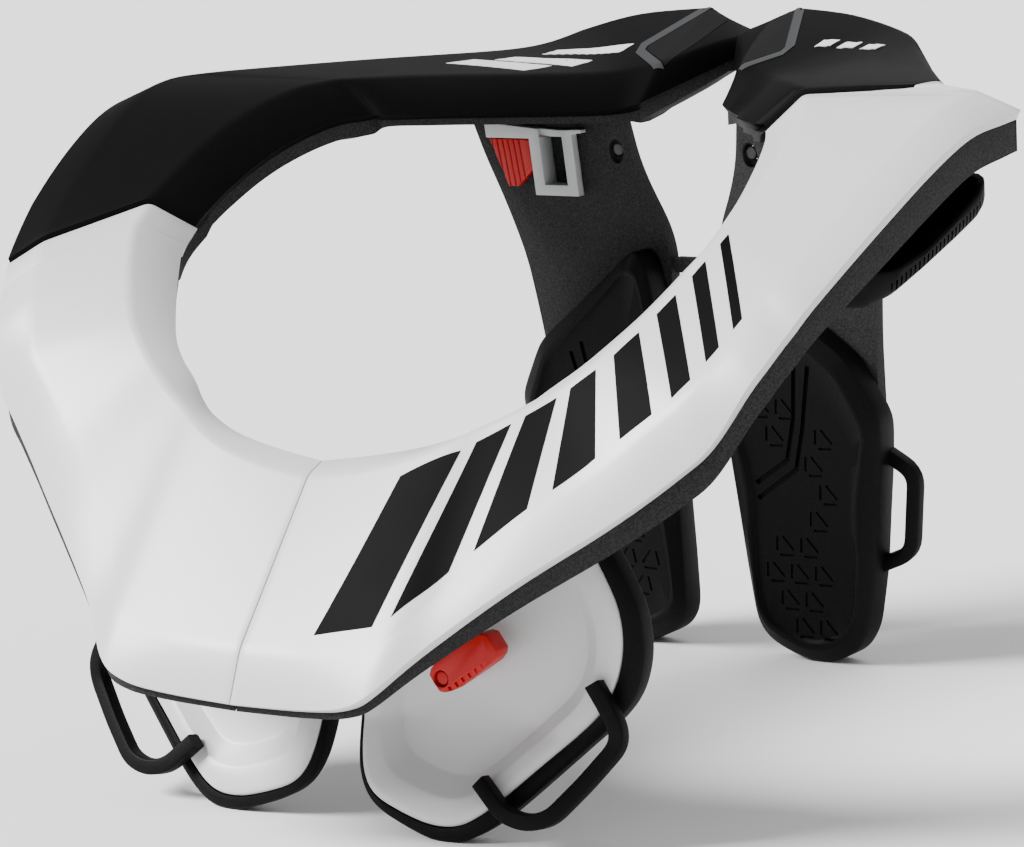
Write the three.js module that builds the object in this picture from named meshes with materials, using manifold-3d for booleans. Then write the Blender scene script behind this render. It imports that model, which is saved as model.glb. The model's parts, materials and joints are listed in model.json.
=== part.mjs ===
// Motocross neck brace: a collar of hard shells over a composite core, carried by two chest
// plates at the front and two padded wings at the rear. Millimetres, +Z up, front towards -Y.
// +X is the wearer's left, where the collar opens as a gate. It stands on its four lower tips.
import * as THREE from "three";
import { mergeVertices } from "three/addons/utils/BufferGeometryUtils.js";
import Module from "manifold-3d";

const wasm = await Module();
wasm.setup();

// Driving sizes of the whole brace
const halfWidth = 155.5;
const halfLength = 147.6;
const collarTop = 208;

// Fits
const seatGap = 0.3;
const seamGap = 0.5;
const gateGap = 0.9;

// Collar section: how far the bevels reach and fall, and how deep the core hangs
const shellWall = 2.6;
const edgeReach = 12;
const edgeFall = 13;
const bevelReach = 14;
const bevelFall = 11;
const coreDepth = 10;
const coreLip = 4.5;
const underBulge = 3;
const stepsPerStation = 3;

// Gate hinge at the wearer's left rear
const gateLine = 0.17 * halfLength;
const hingeX = 0.826 * halfWidth;
const hingePinRadius = 2.4;
const hingePinTop = 0.9038 * collarTop;
const knuckleRadius = 7.4;
const lugRadius = 6.5;
const lugTop = 0.8798 * collarTop;
const lugThick = 5;
const lugArmReach = 21;

// Chest plates
const chestPlateWall = 3;
const chestTrayThick = 9;
const chestFoot = 0.7425 * halfLength;
const chestLean = 0.357;
const chestYaw = 0.067;
const chestBend = 0.149 * collarTop;
const chestRecess = 1.8;
const chestRim = 8;
const chestRimSlope = 3;

// Rear struts and wing pads
const wingFoot = 0.7324 * halfLength;
const wingLean = 0.1595;
const padThick = 13.7;
const padBevel = 3;
const strutThick = 5;
const strutPinRadius = 2;
const strutPinSpot = { x: 0.1576, z: 0.7981 };
const bracketThick = 9;
const barHeight = 5;
const barLevel = 0.6058 * collarTop;
const barReach = 0.0579 * halfWidth - seatGap;

// Strap loops
const loopBar = 4.6;
const loopThick = 4.4;

// Release lever under the wearer's left front
const leverLength = 23;
const leverHeight = 9;
const leverThick = 6;
const leverSpot = { x: 0.2547, z: 0.224 };
const leverStandOff = 8.5;
const leverPinRadius = 2;

// Shoulder trays
const trayWall = 2.6;
const trayLip = 5;

// Colours and finishes
const finish = (color, roughness) => new THREE.MeshStandardMaterial({ color, roughness, metalness: 0 });
const whitePlastic = finish(0xf1f1f2, 0.35);
const blackPlastic = finish(0x17181a, 0.45);
const corePlastic = finish(0x34353a, 0.85);
const blackRubber = finish(0x1c1c1e, 0.75);
const greyPlastic = finish(0xb9bbbd, 0.5);
const redPlastic = finish(0xd12a22, 0.45);

// Collar stations for the wearer's left half, from the front seam to the rear centre.
// in* is the ridge round the neck and out* the outer ridge, as shares of the brace's half
// width, half length and top. reach, fall: the outer facet below the ridge. bevel, sink: the
// facet down into the neck opening. deep: how far the core hangs under the outer edge, and
// lip: under the neck edge.
const stations = [
  { inX: 0, inY: -0.724, inZ: 0.485, outX: 0, outY: -0.958, outZ: 0.287, reach: 0.5, fall: 1.08, bevel: 0.48, sink: -0.25, deep: 0.15, lip: 2.4 },
  { inX: 0.109, inY: -0.721, inZ: 0.498, outX: 0.148, outY: -0.955, outZ: 0.29, reach: 0.55, fall: 1.05, bevel: 0.5, sink: -0.22, deep: 0.17, lip: 2.4 },
  { inX: 0.206, inY: -0.711, inZ: 0.518, outX: 0.238, outY: -0.942, outZ: 0.3, reach: 0.7, fall: 1.04, bevel: 0.55, sink: -0.1, deep: 0.2, lip: 2.5 },
  { inX: 0.28, inY: -0.686, inZ: 0.54, outX: 0.296, outY: -0.917, outZ: 0.322, reach: 0.8, fall: 1.02, bevel: 0.6, sink: 0, deep: 0.28, lip: 2.6 },
  { inX: 0.335, inY: -0.656, inZ: 0.56, outX: 0.364, outY: -0.845, outZ: 0.373, reach: 0.85, fall: 0.96, bevel: 0.65, sink: 0.1, deep: 0.4, lip: 2.6 },
  { inX: 0.388, inY: -0.629, inZ: 0.579, outX: 0.464, outY: -0.768, outZ: 0.444, reach: 0.85, fall: 0.93, bevel: 0.72, sink: 0.22, deep: 0.55, lip: 2.4 },
  { inX: 0.446, inY: -0.594, inZ: 0.604, outX: 0.572, outY: -0.69, outZ: 0.512, reach: 0.92, fall: 0.92, bevel: 0.8, sink: 0.35, deep: 0.65, lip: 2 },
  { inX: 0.492, inY: -0.565, inZ: 0.63, outX: 0.665, outY: -0.641, outZ: 0.57, reach: 0.9, fall: 0.92, bevel: 0.88, sink: 0.5, deep: 0.75, lip: 1.5 },
  { inX: 0.538, inY: -0.53, inZ: 0.661, outX: 0.723, outY: -0.61, outZ: 0.608, reach: 0.87, fall: 0.88, bevel: 0.95, sink: 0.6, deep: 0.8, lip: 1.2 },
  { inX: 0.588, inY: -0.467, inZ: 0.708, outX: 0.766, outY: -0.557, outZ: 0.655, reach: 0.92, fall: 0.56, bevel: 1, sink: 0.7, deep: 0.8, lip: 1 },
  { inX: 0.614, inY: -0.424, inZ: 0.738, outX: 0.787, outY: -0.522, outZ: 0.683, reach: 0.93, fall: 0.54, bevel: 1, sink: 0.72, deep: 0.8, lip: 1 },
  { inX: 0.637, inY: -0.375, inZ: 0.77, outX: 0.807, outY: -0.478, outZ: 0.714, reach: 0.92, fall: 0.54, bevel: 1, sink: 0.74, deep: 0.8, lip: 1 },
  { inX: 0.65, inY: -0.308, inZ: 0.801, outX: 0.832, outY: -0.423, outZ: 0.751, reach: 0.93, fall: 0.5, bevel: 1, sink: 0.76, deep: 0.82, lip: 1, border: true },
  { inX: 0.652, inY: -0.177, inZ: 0.848, outX: 0.862, outY: -0.272, outZ: 0.822, reach: 1.05, fall: 0.36, bevel: 1, sink: 0.8, deep: 0.95, lip: 1 },
  { inX: 0.637, inY: -0.055, inZ: 0.889, outX: 0.884, outY: -0.123, outZ: 0.883, reach: 1.07, fall: 0.32, bevel: 1, sink: 0.85, deep: 1, lip: 1 },
  { inX: 0.605, inY: 0.054, inZ: 0.918, outX: 0.9, outY: -0.001, outZ: 0.924, reach: 1.08, fall: 0.38, bevel: 1, sink: 0.9, deep: 0.95, lip: 1 },
  { inX: 0.571, inY: 0.128, inZ: 0.933, outX: 0.912, outY: 0.1, outZ: 0.938, reach: 1.12, fall: 0.42, bevel: 0.98, sink: 0.95, deep: 0.88, lip: 1 },
  { inX: 0.552, inY: 0.163, inZ: 0.936, outX: 0.908, outY: 0.153, outZ: 0.941, reach: 1.19, fall: 0.42, bevel: 0.96, sink: 1, deep: 0.85, lip: 1, corner: true },
  { inX: 0.535, inY: 0.185, inZ: 0.937, outX: 0.84, outY: 0.168, outZ: 0.947, reach: 0.5, fall: 0.6, bevel: 0.95, sink: 1, deep: 0.8, lip: 1, corner: true },
  { inX: 0.5, inY: 0.221, inZ: 0.938, outX: 0.746, outY: 0.325, outZ: 0.947, reach: 0.4, fall: 0.62, bevel: 0.93, sink: 1, deep: 0.8, lip: 1 },
  { inX: 0.421, inY: 0.32, inZ: 0.936, outX: 0.643, outY: 0.501, outZ: 0.946, reach: 0.4, fall: 0.62, bevel: 0.93, sink: 1, deep: 0.8, lip: 1 },
  { inX: 0.348, inY: 0.425, inZ: 0.93, outX: 0.547, outY: 0.672, outZ: 0.943, reach: 0.4, fall: 0.62, bevel: 0.92, sink: 1, deep: 0.8, lip: 1 },
  { inX: 0.276, inY: 0.55, inZ: 0.922, outX: 0.457, outY: 0.831, outZ: 0.943, reach: 0.4, fall: 0.62, bevel: 0.9, sink: 1, deep: 0.8, lip: 1 },
  { inX: 0.212, inY: 0.646, inZ: 0.917, outX: 0.39, outY: 0.909, outZ: 0.965, reach: 0.4, fall: 0.7, bevel: 0.9, sink: 1, deep: 0.8, lip: 1 },
  { inX: 0.161, inY: 0.703, inZ: 0.917, outX: 0.257, outY: 0.938, outZ: 0.99, reach: 0.4, fall: 0.8, bevel: 0.9, sink: 1, deep: 0.8, lip: 1 },
  { inX: 0.099, inY: 0.736, inZ: 0.923, outX: 0.106, outY: 0.979, outZ: 0.998, reach: 0.26, fall: 0.8, bevel: 0.9, sink: 1, deep: 0.8, lip: 1, corner: true },
  { inX: 0.045, inY: 0.833, inZ: 0.944, outX: 0.055, outY: 0.965, outZ: 0.982, reach: 0.25, fall: 0.75, bevel: 0.3, sink: 0.8, deep: 0.6, lip: 0.9 },
  { inX: 0, inY: 0.894, inZ: 0.955, outX: 0, outY: 0.959, outZ: 0.966, reach: 0.2, fall: 0.6, bevel: 0.15, sink: 0.6, deep: 0.4, lip: 0.7 },
];

// Outline of the left chest tray from its foot up: inner and outer edge at each level, and the
// white plate's edges inside it
const chestTrayRows = [
  { level: 0, inner: 0.2122, outer: 0.283 },
  { level: 0.0106, inner: 0.1736, outer: 0.3087 },
  { level: 0.0288, inner: 0.101, outer: 0.3473 },
  { level: 0.0457, inner: 0.0675, outer: 0.373 },
  { level: 0.0745, inner: 0.0457, outer: 0.4148 },
  { level: 0.1058, inner: 0.0386, outer: 0.4598 },
  { level: 0.149, inner: 0.0334, outer: 0.5209 },
  { level: 0.1827, inner: 0.0322, outer: 0.5723 },
  { level: 0.2163, inner: 0.0322, outer: 0.6045 },
  { level: 0.2692, inner: 0.0322, outer: 0.6206 },
  { level: 0.3269, inner: 0.0354, outer: 0.6109 },
  { level: 0.3942, inner: 0.0514, outer: 0.5659 },
  { level: 0.4663, inner: 0.09, outer: 0.4887 },
];
const chestPlateRows = [
  { level: 0.0207, inner: 0.2122, outer: 0.2765 },
  { level: 0.0298, inner: 0.1672, outer: 0.2958 },
  { level: 0.0481, inner: 0.09, outer: 0.328 },
  { level: 0.0673, inner: 0.0643, outer: 0.3601 },
  { level: 0.0986, inner: 0.0527, outer: 0.4051 },
  { level: 0.149, inner: 0.045, outer: 0.4823 },
  { level: 0.1827, inner: 0.045, outer: 0.5338 },
  { level: 0.2212, inner: 0.045, outer: 0.5659 },
  { level: 0.274, inner: 0.0482, outer: 0.5852 },
  { level: 0.3269, inner: 0.0514, outer: 0.5788 },
  { level: 0.3942, inner: 0.0707, outer: 0.5338 },
  { level: 0.4663, inner: 0.1093, outer: 0.463 },
];

// Outline of the left wing pad and strut: inner and outer edge at each level
const padRows = [
  { level: 0, inner: 0.1994, outer: 0.2444 },
  { level: 0.0072, inner: 0.1736, outer: 0.2765 },
  { level: 0.0216, inner: 0.1286, outer: 0.3138 },
  { level: 0.0385, inner: 0.0997, outer: 0.3312 },
  { level: 0.0625, inner: 0.0868, outer: 0.3486 },
  { level: 0.1538, inner: 0.0791, outer: 0.3794 },
  { level: 0.3269, inner: 0.0682, outer: 0.418 },
  { level: 0.4038, inner: 0.0643, outer: 0.4296 },
  { level: 0.4471, inner: 0.0656, outer: 0.3987 },
  { level: 0.4952, inner: 0.0682, outer: 0.364 },
  { level: 0.5769, inner: 0.072, outer: 0.2251 },
  { level: 0.625, inner: 0.0797, outer: 0.1447 },
  { level: 0.649, inner: 0.09, outer: 0.1125 },
];
const strutRows = [
  { level: 0.0577, inner: 0.1415, outer: 0.2958 },
  { level: 0.1442, inner: 0.1093, outer: 0.3408 },
  { level: 0.3365, inner: 0.0932, outer: 0.3859 },
  { level: 0.5144, inner: 0.0804, outer: 0.4 },
  { level: 0.6154, inner: 0.0579, outer: 0.4148 },
  { level: 0.649, inner: 0.0579, outer: 0.4264 },
  { level: 0.6875, inner: 0.0707, outer: 0.4412 },
  { level: 0.7308, inner: 0.0997, outer: 0.4605 },
  { level: 0.7837, inner: 0.1241, outer: 0.4875 },
  { level: 0.8486, inner: 0.1363, outer: 0.5113 },
];

// Centre lines of the strap loops, in the plane of the plate or pad that carries them
const chestLoopPath = [
  { x: 0.3312, z: 0.0793 },
  { x: 0.3762, z: 0.051 },
  { x: 0.4244, z: 0.0428 },
  { x: 0.4695, z: 0.0519 },
  { x: 0.5273, z: 0.0986 },
  { x: 0.5814, z: 0.149 },
  { x: 0.5826, z: 0.1755 },
  { x: 0.5434, z: 0.2212 },
];
const chestLoopBar = [
  { x: 0.3312, z: 0.0793 },
  { x: 0.4405, z: 0.149 },
  { x: 0.5434, z: 0.2212 },
];
const wingLoopPath = [
  { x: 0.4064, z: 0.3438 },
  { x: 0.4707, z: 0.3144 },
  { x: 0.4437, z: 0.1856 },
  { x: 0.373, z: 0.1625 },
];

// Shoulder tray stations from front to back: floor and inner wall levels and both sides
const trayRows = [
  { y: -0.3388, floor: 0.6995, outer: 0.881, inner: 0.7974, lip: 1.9 },
  { y: -0.2981, floor: 0.6913, outer: 0.9068, inner: 0.7588, lip: 1.9 },
  { y: -0.2236, floor: 0.7029, outer: 0.9228, inner: 0.7331, lip: 1.3 },
  { y: -0.122, floor: 0.7279, outer: 0.9325, inner: 0.7203, lip: 1 },
  { y: 0, floor: 0.7587, outer: 0.9325, inner: 0.7203, lip: 1 },
  { y: 0.0745, floor: 0.7764, outer: 0.926, inner: 0.7331, lip: 1 },
  { y: 0.1084, floor: 0.7861, outer: 0.9068, inner: 0.7588, lip: 1 },
];

// Closed solid between a front grid and a back grid of points, both rows by columns
function slab(front, back) {
  const rows = front.length;
  const cols = front[0].length;
  const points = [...front.flat(), ...back.flat()];
  const at = (side, row, col) => side * rows * cols + row * cols + col;
  const faces = [];
  const quad = (a, b, c, d) => faces.push([a, b, c], [a, c, d]);
  for (let r = 0; r < rows - 1; r++) {
    for (let c = 0; c < cols - 1; c++) {
      quad(at(0, r, c), at(0, r, c + 1), at(0, r + 1, c + 1), at(0, r + 1, c));
      quad(at(1, r, c), at(1, r + 1, c), at(1, r + 1, c + 1), at(1, r, c + 1));
    }
    quad(at(0, r, 0), at(0, r + 1, 0), at(1, r + 1, 0), at(1, r, 0));
    quad(at(0, r, cols - 1), at(1, r, cols - 1), at(1, r + 1, cols - 1), at(0, r + 1, cols - 1));
  }
  for (let c = 0; c < cols - 1; c++) {
    quad(at(0, 0, c), at(1, 0, c), at(1, 0, c + 1), at(0, 0, c + 1));
    const r = rows - 1;
    quad(at(0, r, c), at(0, r, c + 1), at(1, r, c + 1), at(1, r, c));
  }
  return solidOf(points, faces);
}

// Manifold solid from points and triangles, turned so that its faces point outwards
function solidOf(points, faces) {
  let volume = 0;
  for (const [a, b, c] of faces) {
    volume += points[a].dot(new THREE.Vector3().crossVectors(points[b], points[c]));
  }
  const turned = volume > 0 ? faces : faces.map(([a, b, c]) => [a, c, b]);
  const vertProperties = new Float32Array(points.flatMap((p) => [p.x, p.y, p.z]));
  const triVerts = new Uint32Array(turned.flat());
  return new wasm.Manifold(new wasm.Mesh({ numProp: 3, vertProperties, triVerts }));
}

// Manifold solid from a three.js geometry, placed by a matrix
function solidFrom(geometry, matrix = new THREE.Matrix4()) {
  const bare = geometry.clone().applyMatrix4(matrix);
  bare.deleteAttribute("normal");
  bare.deleteAttribute("uv");
  const merged = mergeVertices(bare, 1e-4);
  const position = merged.getAttribute("position");
  const index = merged.getIndex().array;
  const points = Array.from({ length: position.count }, (_, i) => new THREE.Vector3().fromBufferAttribute(position, i));
  const faces = Array.from({ length: index.length / 3 }, (_, i) => [...index.slice(3 * i, 3 * i + 3)]);
  return solidOf(points, faces);
}

function boxBetween(low, high) {
  const size = new THREE.Vector3().subVectors(high, low);
  const middle = new THREE.Vector3().addVectors(high, low).multiplyScalar(0.5);
  const place = new THREE.Matrix4().makeTranslation(middle.x, middle.y, middle.z);
  return solidFrom(new THREE.BoxGeometry(size.x, size.y, size.z), place);
}

function roundBar(from, to, radius, sides = 16) {
  const along = new THREE.Vector3().subVectors(to, from);
  const turn = new THREE.Quaternion().setFromUnitVectors(new THREE.Vector3(0, 1, 0), along.clone().normalize());
  const middle = new THREE.Vector3().addVectors(from, to).multiplyScalar(0.5);
  const place = new THREE.Matrix4().compose(middle, turn, new THREE.Vector3(1, 1, 1));
  return solidFrom(new THREE.CylinderGeometry(radius, radius, along.length(), sides), place);
}

// Flat bar of a set width along a path of points, standing on a plane whose normal is given
function flatBar(path, width, thick, normal) {
  const half = normal.clone().multiplyScalar(thick / 2);
  const front = [];
  const back = [];
  path.forEach((point, i) => {
    const before = path[Math.max(i - 1, 0)];
    const after = path[Math.min(i + 1, path.length - 1)];
    const dirIn = new THREE.Vector3().subVectors(point, before).normalize();
    const dirOut = new THREE.Vector3().subVectors(after, point).normalize();
    const along = dirIn.clone().add(dirOut).normalize();
    const lean = Math.max(0.6, Math.max(dirIn.length() ? along.dot(dirIn) : 0, dirOut.length() ? along.dot(dirOut) : 0));
    const side = new THREE.Vector3().crossVectors(along, normal).normalize().multiplyScalar(width / 2 / lean);
    front.push([point.clone().add(side).add(half), point.clone().sub(side).add(half)]);
    back.push([point.clone().add(side).sub(half), point.clone().sub(side).sub(half)]);
  });
  return slab(front, back);
}

// Mirror to the wearer's right
function mirrored(solid) {
  return solid.mirror([1, 0, 0]);
}

// The main body of a cut solid, without the crumbs that cutting leaves
function mainBody(solid) {
  return solid.decompose().sort((a, b) => b.volume() - a.volume())[0];
}

// Collar stations run through a smooth curve, broken at the rows marked as corners
function between(rows, i, t) {
  const row1 = rows[i];
  const row2 = rows[i + 1];
  const row0 = row1.corner || i === 0 ? row1 : rows[i - 1];
  const row3 = row2.corner || i + 2 >= rows.length ? row2 : rows[i + 2];
  const result = {};
  for (const key of Object.keys(row1)) {
    if (key === "corner" || key === "border") continue;
    const [a, b, c, d] = [row0[key], row1[key], row2[key], row3[key]];
    const slopeIn = (c - a) / 2;
    const slopeOut = (d - b) / 2;
    const t2 = t * t;
    const t3 = t2 * t;
    result[key] = (2 * t3 - 3 * t2 + 1) * b + (t3 - 2 * t2 + t) * slopeIn
      + (3 * t2 - 2 * t3) * c + (t3 - t2) * slopeOut;
  }
  return result;
}

function collarRow(row, sign) {
  const inner = new THREE.Vector3(sign * row.inX * halfWidth, row.inY * halfLength, row.inZ * collarTop);
  const outer = new THREE.Vector3(sign * row.outX * halfWidth, row.outY * halfLength, row.outZ * collarTop);
  const out = new THREE.Vector3(outer.x - inner.x, outer.y - inner.y, 0).normalize();
  const edge = outer.clone().addScaledVector(out, row.reach * edgeReach);
  edge.z -= row.fall * edgeFall;
  const rim = inner.clone().addScaledVector(out, -row.bevel * bevelReach);
  rim.z -= row.sink * bevelFall;
  return { top: [rim, inner, outer, edge], out, row };
}

// The whole ring from the wearer's right of the seam, round the rear, to its left
function collarRing() {
  const half = [];
  for (let i = 0; i < stations.length - 1; i++) {
    for (let s = 0; s < stepsPerStation; s++) half.push(between(stations, i, s / stepsPerStation));
  }
  const { corner, ...last } = stations[stations.length - 1];
  half.push(last);
  const right = half.map((row) => collarRow(row, -1));
  const left = half.slice(0, -1).reverse().map((row) => collarRow(row, 1));
  return [...right, ...left];
}

// Offset of a ring's top surface to its inside, mitred over the ridges
function sunkTop(ring, depth) {
  const cellNormal = (i, j) => {
    const along = new THREE.Vector3().subVectors(ring[i + 1].top[j], ring[i].top[j]);
    along.add(new THREE.Vector3().subVectors(ring[i + 1].top[j + 1], ring[i].top[j + 1]));
    const across = new THREE.Vector3().subVectors(ring[i].top[j + 1], ring[i].top[j]);
    across.add(new THREE.Vector3().subVectors(ring[i + 1].top[j + 1], ring[i + 1].top[j]));
    return new THREE.Vector3().crossVectors(along, across).normalize();
  };
  const strip = (i, j) => {
    const sum = new THREE.Vector3();
    if (i > 0) sum.add(cellNormal(i - 1, j));
    if (i < ring.length - 1) sum.add(cellNormal(i, j));
    return sum.normalize();
  };
  return ring.map((station, i) => station.top.map((point, j) => {
    const first = strip(i, Math.max(j - 1, 0));
    const second = strip(i, Math.min(j, 2));
    const mitre = first.clone().add(second).divideScalar(Math.max(1 + first.dot(second), 0.6));
    if (i === 0 || i === ring.length - 1) mitre.x = 0;
    return point.clone().addScaledVector(mitre, -depth);
  }));
}

function collarShell(ring) {
  return slab(ring.map((station) => station.top), sunkTop(ring, shellWall));
}

// Composite core under the shells; grow makes it a little larger, to cut its neighbours clear
function collarCore(ring, grow = 0) {
  const top = sunkTop(ring, shellWall + seatGap - grow);
  const bottom = top.map((line, i) => {
    const { row, out } = ring[i];
    const inLip = line[0].clone().addScaledVector(out, -grow);
    inLip.z -= coreLip * row.lip + grow;
    const outLip = line[3].clone().addScaledVector(out, grow);
    outLip.z -= coreDepth * row.deep + grow;
    const sag = new THREE.Vector3(0, 0, -underBulge * Math.min(1, row.deep + 0.4));
    const innerThird = inLip.clone().lerp(outLip, 0.3).add(sag);
    const outerThird = inLip.clone().lerp(outLip, 0.7).add(sag);
    return [inLip, innerThird, outerThird, outLip];
  });
  return slab(top, bottom);
}

const ring = collarRing();
const far = 400;
const wholeShell = collarShell(ring);
const shellRoom = wholeShell.add(wholeShell.translate([0, 0, -0.7 * seatGap]));
const wholeCore = collarCore(ring).subtract(shellRoom);
const collar = wholeCore.add(wholeShell);
const keepOut = collarCore(ring, seatGap).add(collar).add(collar.translate([0, 0, -seatGap]))
  .add(collar.translate([0, -seatGap, 0]));

// The gate is the wearer's left part between the front seam and the hinge line
const gateBox = boxBetween(
  new THREE.Vector3(seamGap / 2, -far, -far), new THREE.Vector3(far, gateLine - gateGap / 2, far));
const rightBlock = boxBetween(
  new THREE.Vector3(-far, -far, -far), new THREE.Vector3(-seamGap / 2, far, far));
const leftRearBlock = boxBetween(
  new THREE.Vector3(-far, gateLine + gateGap / 2, -far), new THREE.Vector3(far, far, far));
const hingePoint = (z) => new THREE.Vector3(hingeX, gateLine, z);
const gateBlock = gateBox.add(roundBar(hingePoint(-far), hingePoint(far), knuckleRadius, 24));
const knuckleRoom = roundBar(hingePoint(-far), hingePoint(far), knuckleRadius + 2 * seatGap, 24);
const chassisBlock = rightBlock.add(leftRearBlock).subtract(knuckleRoom);

// Slanted border between white and black on the wearer's right
function borderBlock(gapSide) {
  const row = collarRow(stations.find(({ border }) => border), -1);
  const along = new THREE.Vector3(row.top[2].x - row.top[1].x, row.top[2].y - row.top[1].y, 0).normalize();
  const angle = Math.atan2(along.y, along.x) - Math.PI;
  const place = new THREE.Matrix4().makeRotationZ(angle);
  place.setPosition(row.top[1].x, row.top[1].y, 0);
  const box = new THREE.BoxGeometry(2 * far, far, 2 * far);
  box.translate(0, -far / 2 + gapSide, 0);
  return solidFrom(box, place);
}

const frontOfBorder = borderBlock(-seatGap / 2);
const pastBorder = borderBlock(seatGap / 2);

const hingePin = roundBar(hingePoint(lugTop + 0.01 - lugThick / 2), hingePoint(hingePinTop), hingePinRadius);

function hingeLugSolid(grow) {
  const disc = roundBar(hingePoint(lugTop - lugThick - grow), hingePoint(lugTop + grow), lugRadius + grow, 20);
  const armPath = [hingePoint(lugTop - lugThick / 2), new THREE.Vector3(hingeX - lugArmReach, gateLine + lugArmReach, lugTop - lugThick / 2)];
  const arm = flatBar(armPath, 1.5 * lugRadius + 2 * grow, lugThick + 2 * grow, new THREE.Vector3(0, 0, 1));
  return disc.add(arm);
}

const lugSweep = roundBar(hingePoint(0), hingePoint(lugTop + seatGap), knuckleRadius + seatGap, 24);
const pinBore = roundBar(hingePoint(0), hingePoint(hingePinTop + seatGap), hingePinRadius + seatGap);

const gateShell = mainBody(wholeShell.intersect(gateBlock));
const rightShell = mainBody(wholeShell.intersect(rightBlock).intersect(frontOfBorder));
const rearShell = mainBody(wholeShell.intersect(chassisBlock).subtract(pastBorder.intersect(rightBlock)));
const gateCore = mainBody(wholeCore.intersect(gateBlock).subtract(lugSweep).subtract(pinBore));
const chassisCore = mainBody(wholeCore.intersect(chassisBlock).subtract(hingeLugSolid(seatGap)));
const hingeLug = hingeLugSolid(0).add(hingePin);

// Chest plates: depth runs back from the plate's front face
function chestPoint(x, z, depth) {
  const lean = chestLean * Math.min(z, chestBend);
  return new THREE.Vector3(x, -chestFoot + chestYaw * x + lean + depth, z);
}

function chestGrid(rows, columns, depthAt) {
  return rows.map(({ level, inner, outer }, r) => columns(inner * halfWidth, outer * halfWidth).map(
    (x, c) => chestPoint(x, level * collarTop, depthAt(r, c))));
}

const rimColumns = (inner, outer) => {
  const rim = Math.min(chestRim, (outer - inner) * 0.3);
  const slope = Math.min(chestRimSlope, (outer - inner) * 0.1);
  const middle = (inner + outer) / 2;
  return [inner, inner + rim, inner + rim + slope, middle, outer - rim - slope, outer - rim, outer];
};

const plateFrontDepth = (r, c) => (r > 3 && c > 1 && c < 5 ? chestRecess : 0);
const chestPlate = slab(
  chestGrid(chestPlateRows, rimColumns, plateFrontDepth),
  chestGrid(chestPlateRows, rimColumns, () => chestPlateWall)).subtract(keepOut);
const edgeColumns = (inner, outer) => [inner, inner + (outer - inner) * 0.12, outer - (outer - inner) * 0.12, outer];
const trayBackDepth = (r, c) => chestPlateWall + seatGap + chestTrayThick * (c > 0 && c < 3 ? 1 : 0.55);
const chestTray = slab(
  chestGrid(chestTrayRows, edgeColumns, () => chestPlateWall + seatGap),
  chestGrid(chestTrayRows, edgeColumns, trayBackDepth)).subtract(keepOut);

const chestNormal = new THREE.Vector3(-chestYaw, 1, -chestLean).normalize();
const loopPoint = ({ x, z }) => chestPoint(x * halfWidth, z * collarTop, -seatGap - loopThick / 2);
const chestLoop = flatBar(chestLoopPath.map(loopPoint), loopBar, loopThick, chestNormal)
  .add(flatBar(chestLoopBar.map(loopPoint), loopBar, loopThick, chestNormal))
  .subtract(chestPlate.translate([0, -seatGap, 0]));

// Release lever and the pin that it turns on, both in front of the left chest plate
const leverTilt = 0.6;
const leverEnds = [
  { along: 0, half: 0.3 },
  { along: 0.06, half: 0.42 },
  { along: 0.16, half: 0.5 },
  { along: 0.84, half: 0.5 },
  { along: 0.94, half: 0.42 },
  { along: 1, half: 0.28 },
];

function leverPoint(along, up, depth) {
  const x = leverSpot.x * halfWidth + along * Math.cos(leverTilt) - up * Math.sin(leverTilt);
  const z = leverSpot.z * collarTop + along * Math.sin(leverTilt) + up * Math.cos(leverTilt);
  return chestPoint(x, z, depth - leverStandOff);
}

const leverGrid = (depth) => leverEnds.map(({ along, half }) => [
  leverPoint((along - 0.12) * leverLength, -half * leverHeight, depth),
  leverPoint((along - 0.12) * leverLength, half * leverHeight, depth),
]);
const leverBore = roundBar(leverPoint(0, 0, -1), leverPoint(0, 0, leverThick + 1), leverPinRadius + seatGap);
const releaseLever = slab(leverGrid(0), leverGrid(leverThick)).subtract(leverBore);
const leverPin = roundBar(leverPoint(0, 0, 0.6), leverPoint(0, 0, leverStandOff + chestRecess - seatGap), leverPinRadius);

// Wings: depth runs back from the pad's front face
function wingPoint(x, z, depth) {
  return new THREE.Vector3(x, wingFoot - wingLean * z + depth, z);
}

function wingGrid(rows, columns, depthAt) {
  return rows.map(({ level, inner, outer }, r) => columns(inner * halfWidth, outer * halfWidth).map(
    (x, c) => wingPoint(x, level * collarTop, depthAt(r, c))));
}

const padColumns = (inner, outer) => {
  const bevel = Math.min(padBevel, (outer - inner) * 0.3);
  return [inner, inner + bevel, outer - bevel, outer];
};
const padFrontDepth = (r, c) => (r > 0 && r < padRows.length - 1 && c > 0 && c < 3 ? 0 : padBevel);
const wingPad = slab(
  wingGrid(padRows, padColumns, padFrontDepth), wingGrid(padRows, padColumns, () => padThick));

const strutDepth = padThick + seatGap;
const strutSides = (inner, outer) => [inner, outer];
const strutBlank = slab(
  wingGrid(strutRows, strutSides, () => strutDepth),
  wingGrid(strutRows, strutSides, () => strutDepth + strutThick));
const pinSpot = (depth) => wingPoint(strutPinSpot.x * halfWidth, strutPinSpot.z * collarTop, depth);
const strutPinBore = roundBar(pinSpot(strutDepth - 5), pinSpot(strutDepth + strutThick + 5), strutPinRadius + seatGap);
const rearStrut = strutBlank.subtract(keepOut).subtract(strutPinBore);
const strutPin = roundBar(pinSpot(strutDepth - 1.2), pinSpot(strutDepth + strutThick + 1.2), strutPinRadius);

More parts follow.
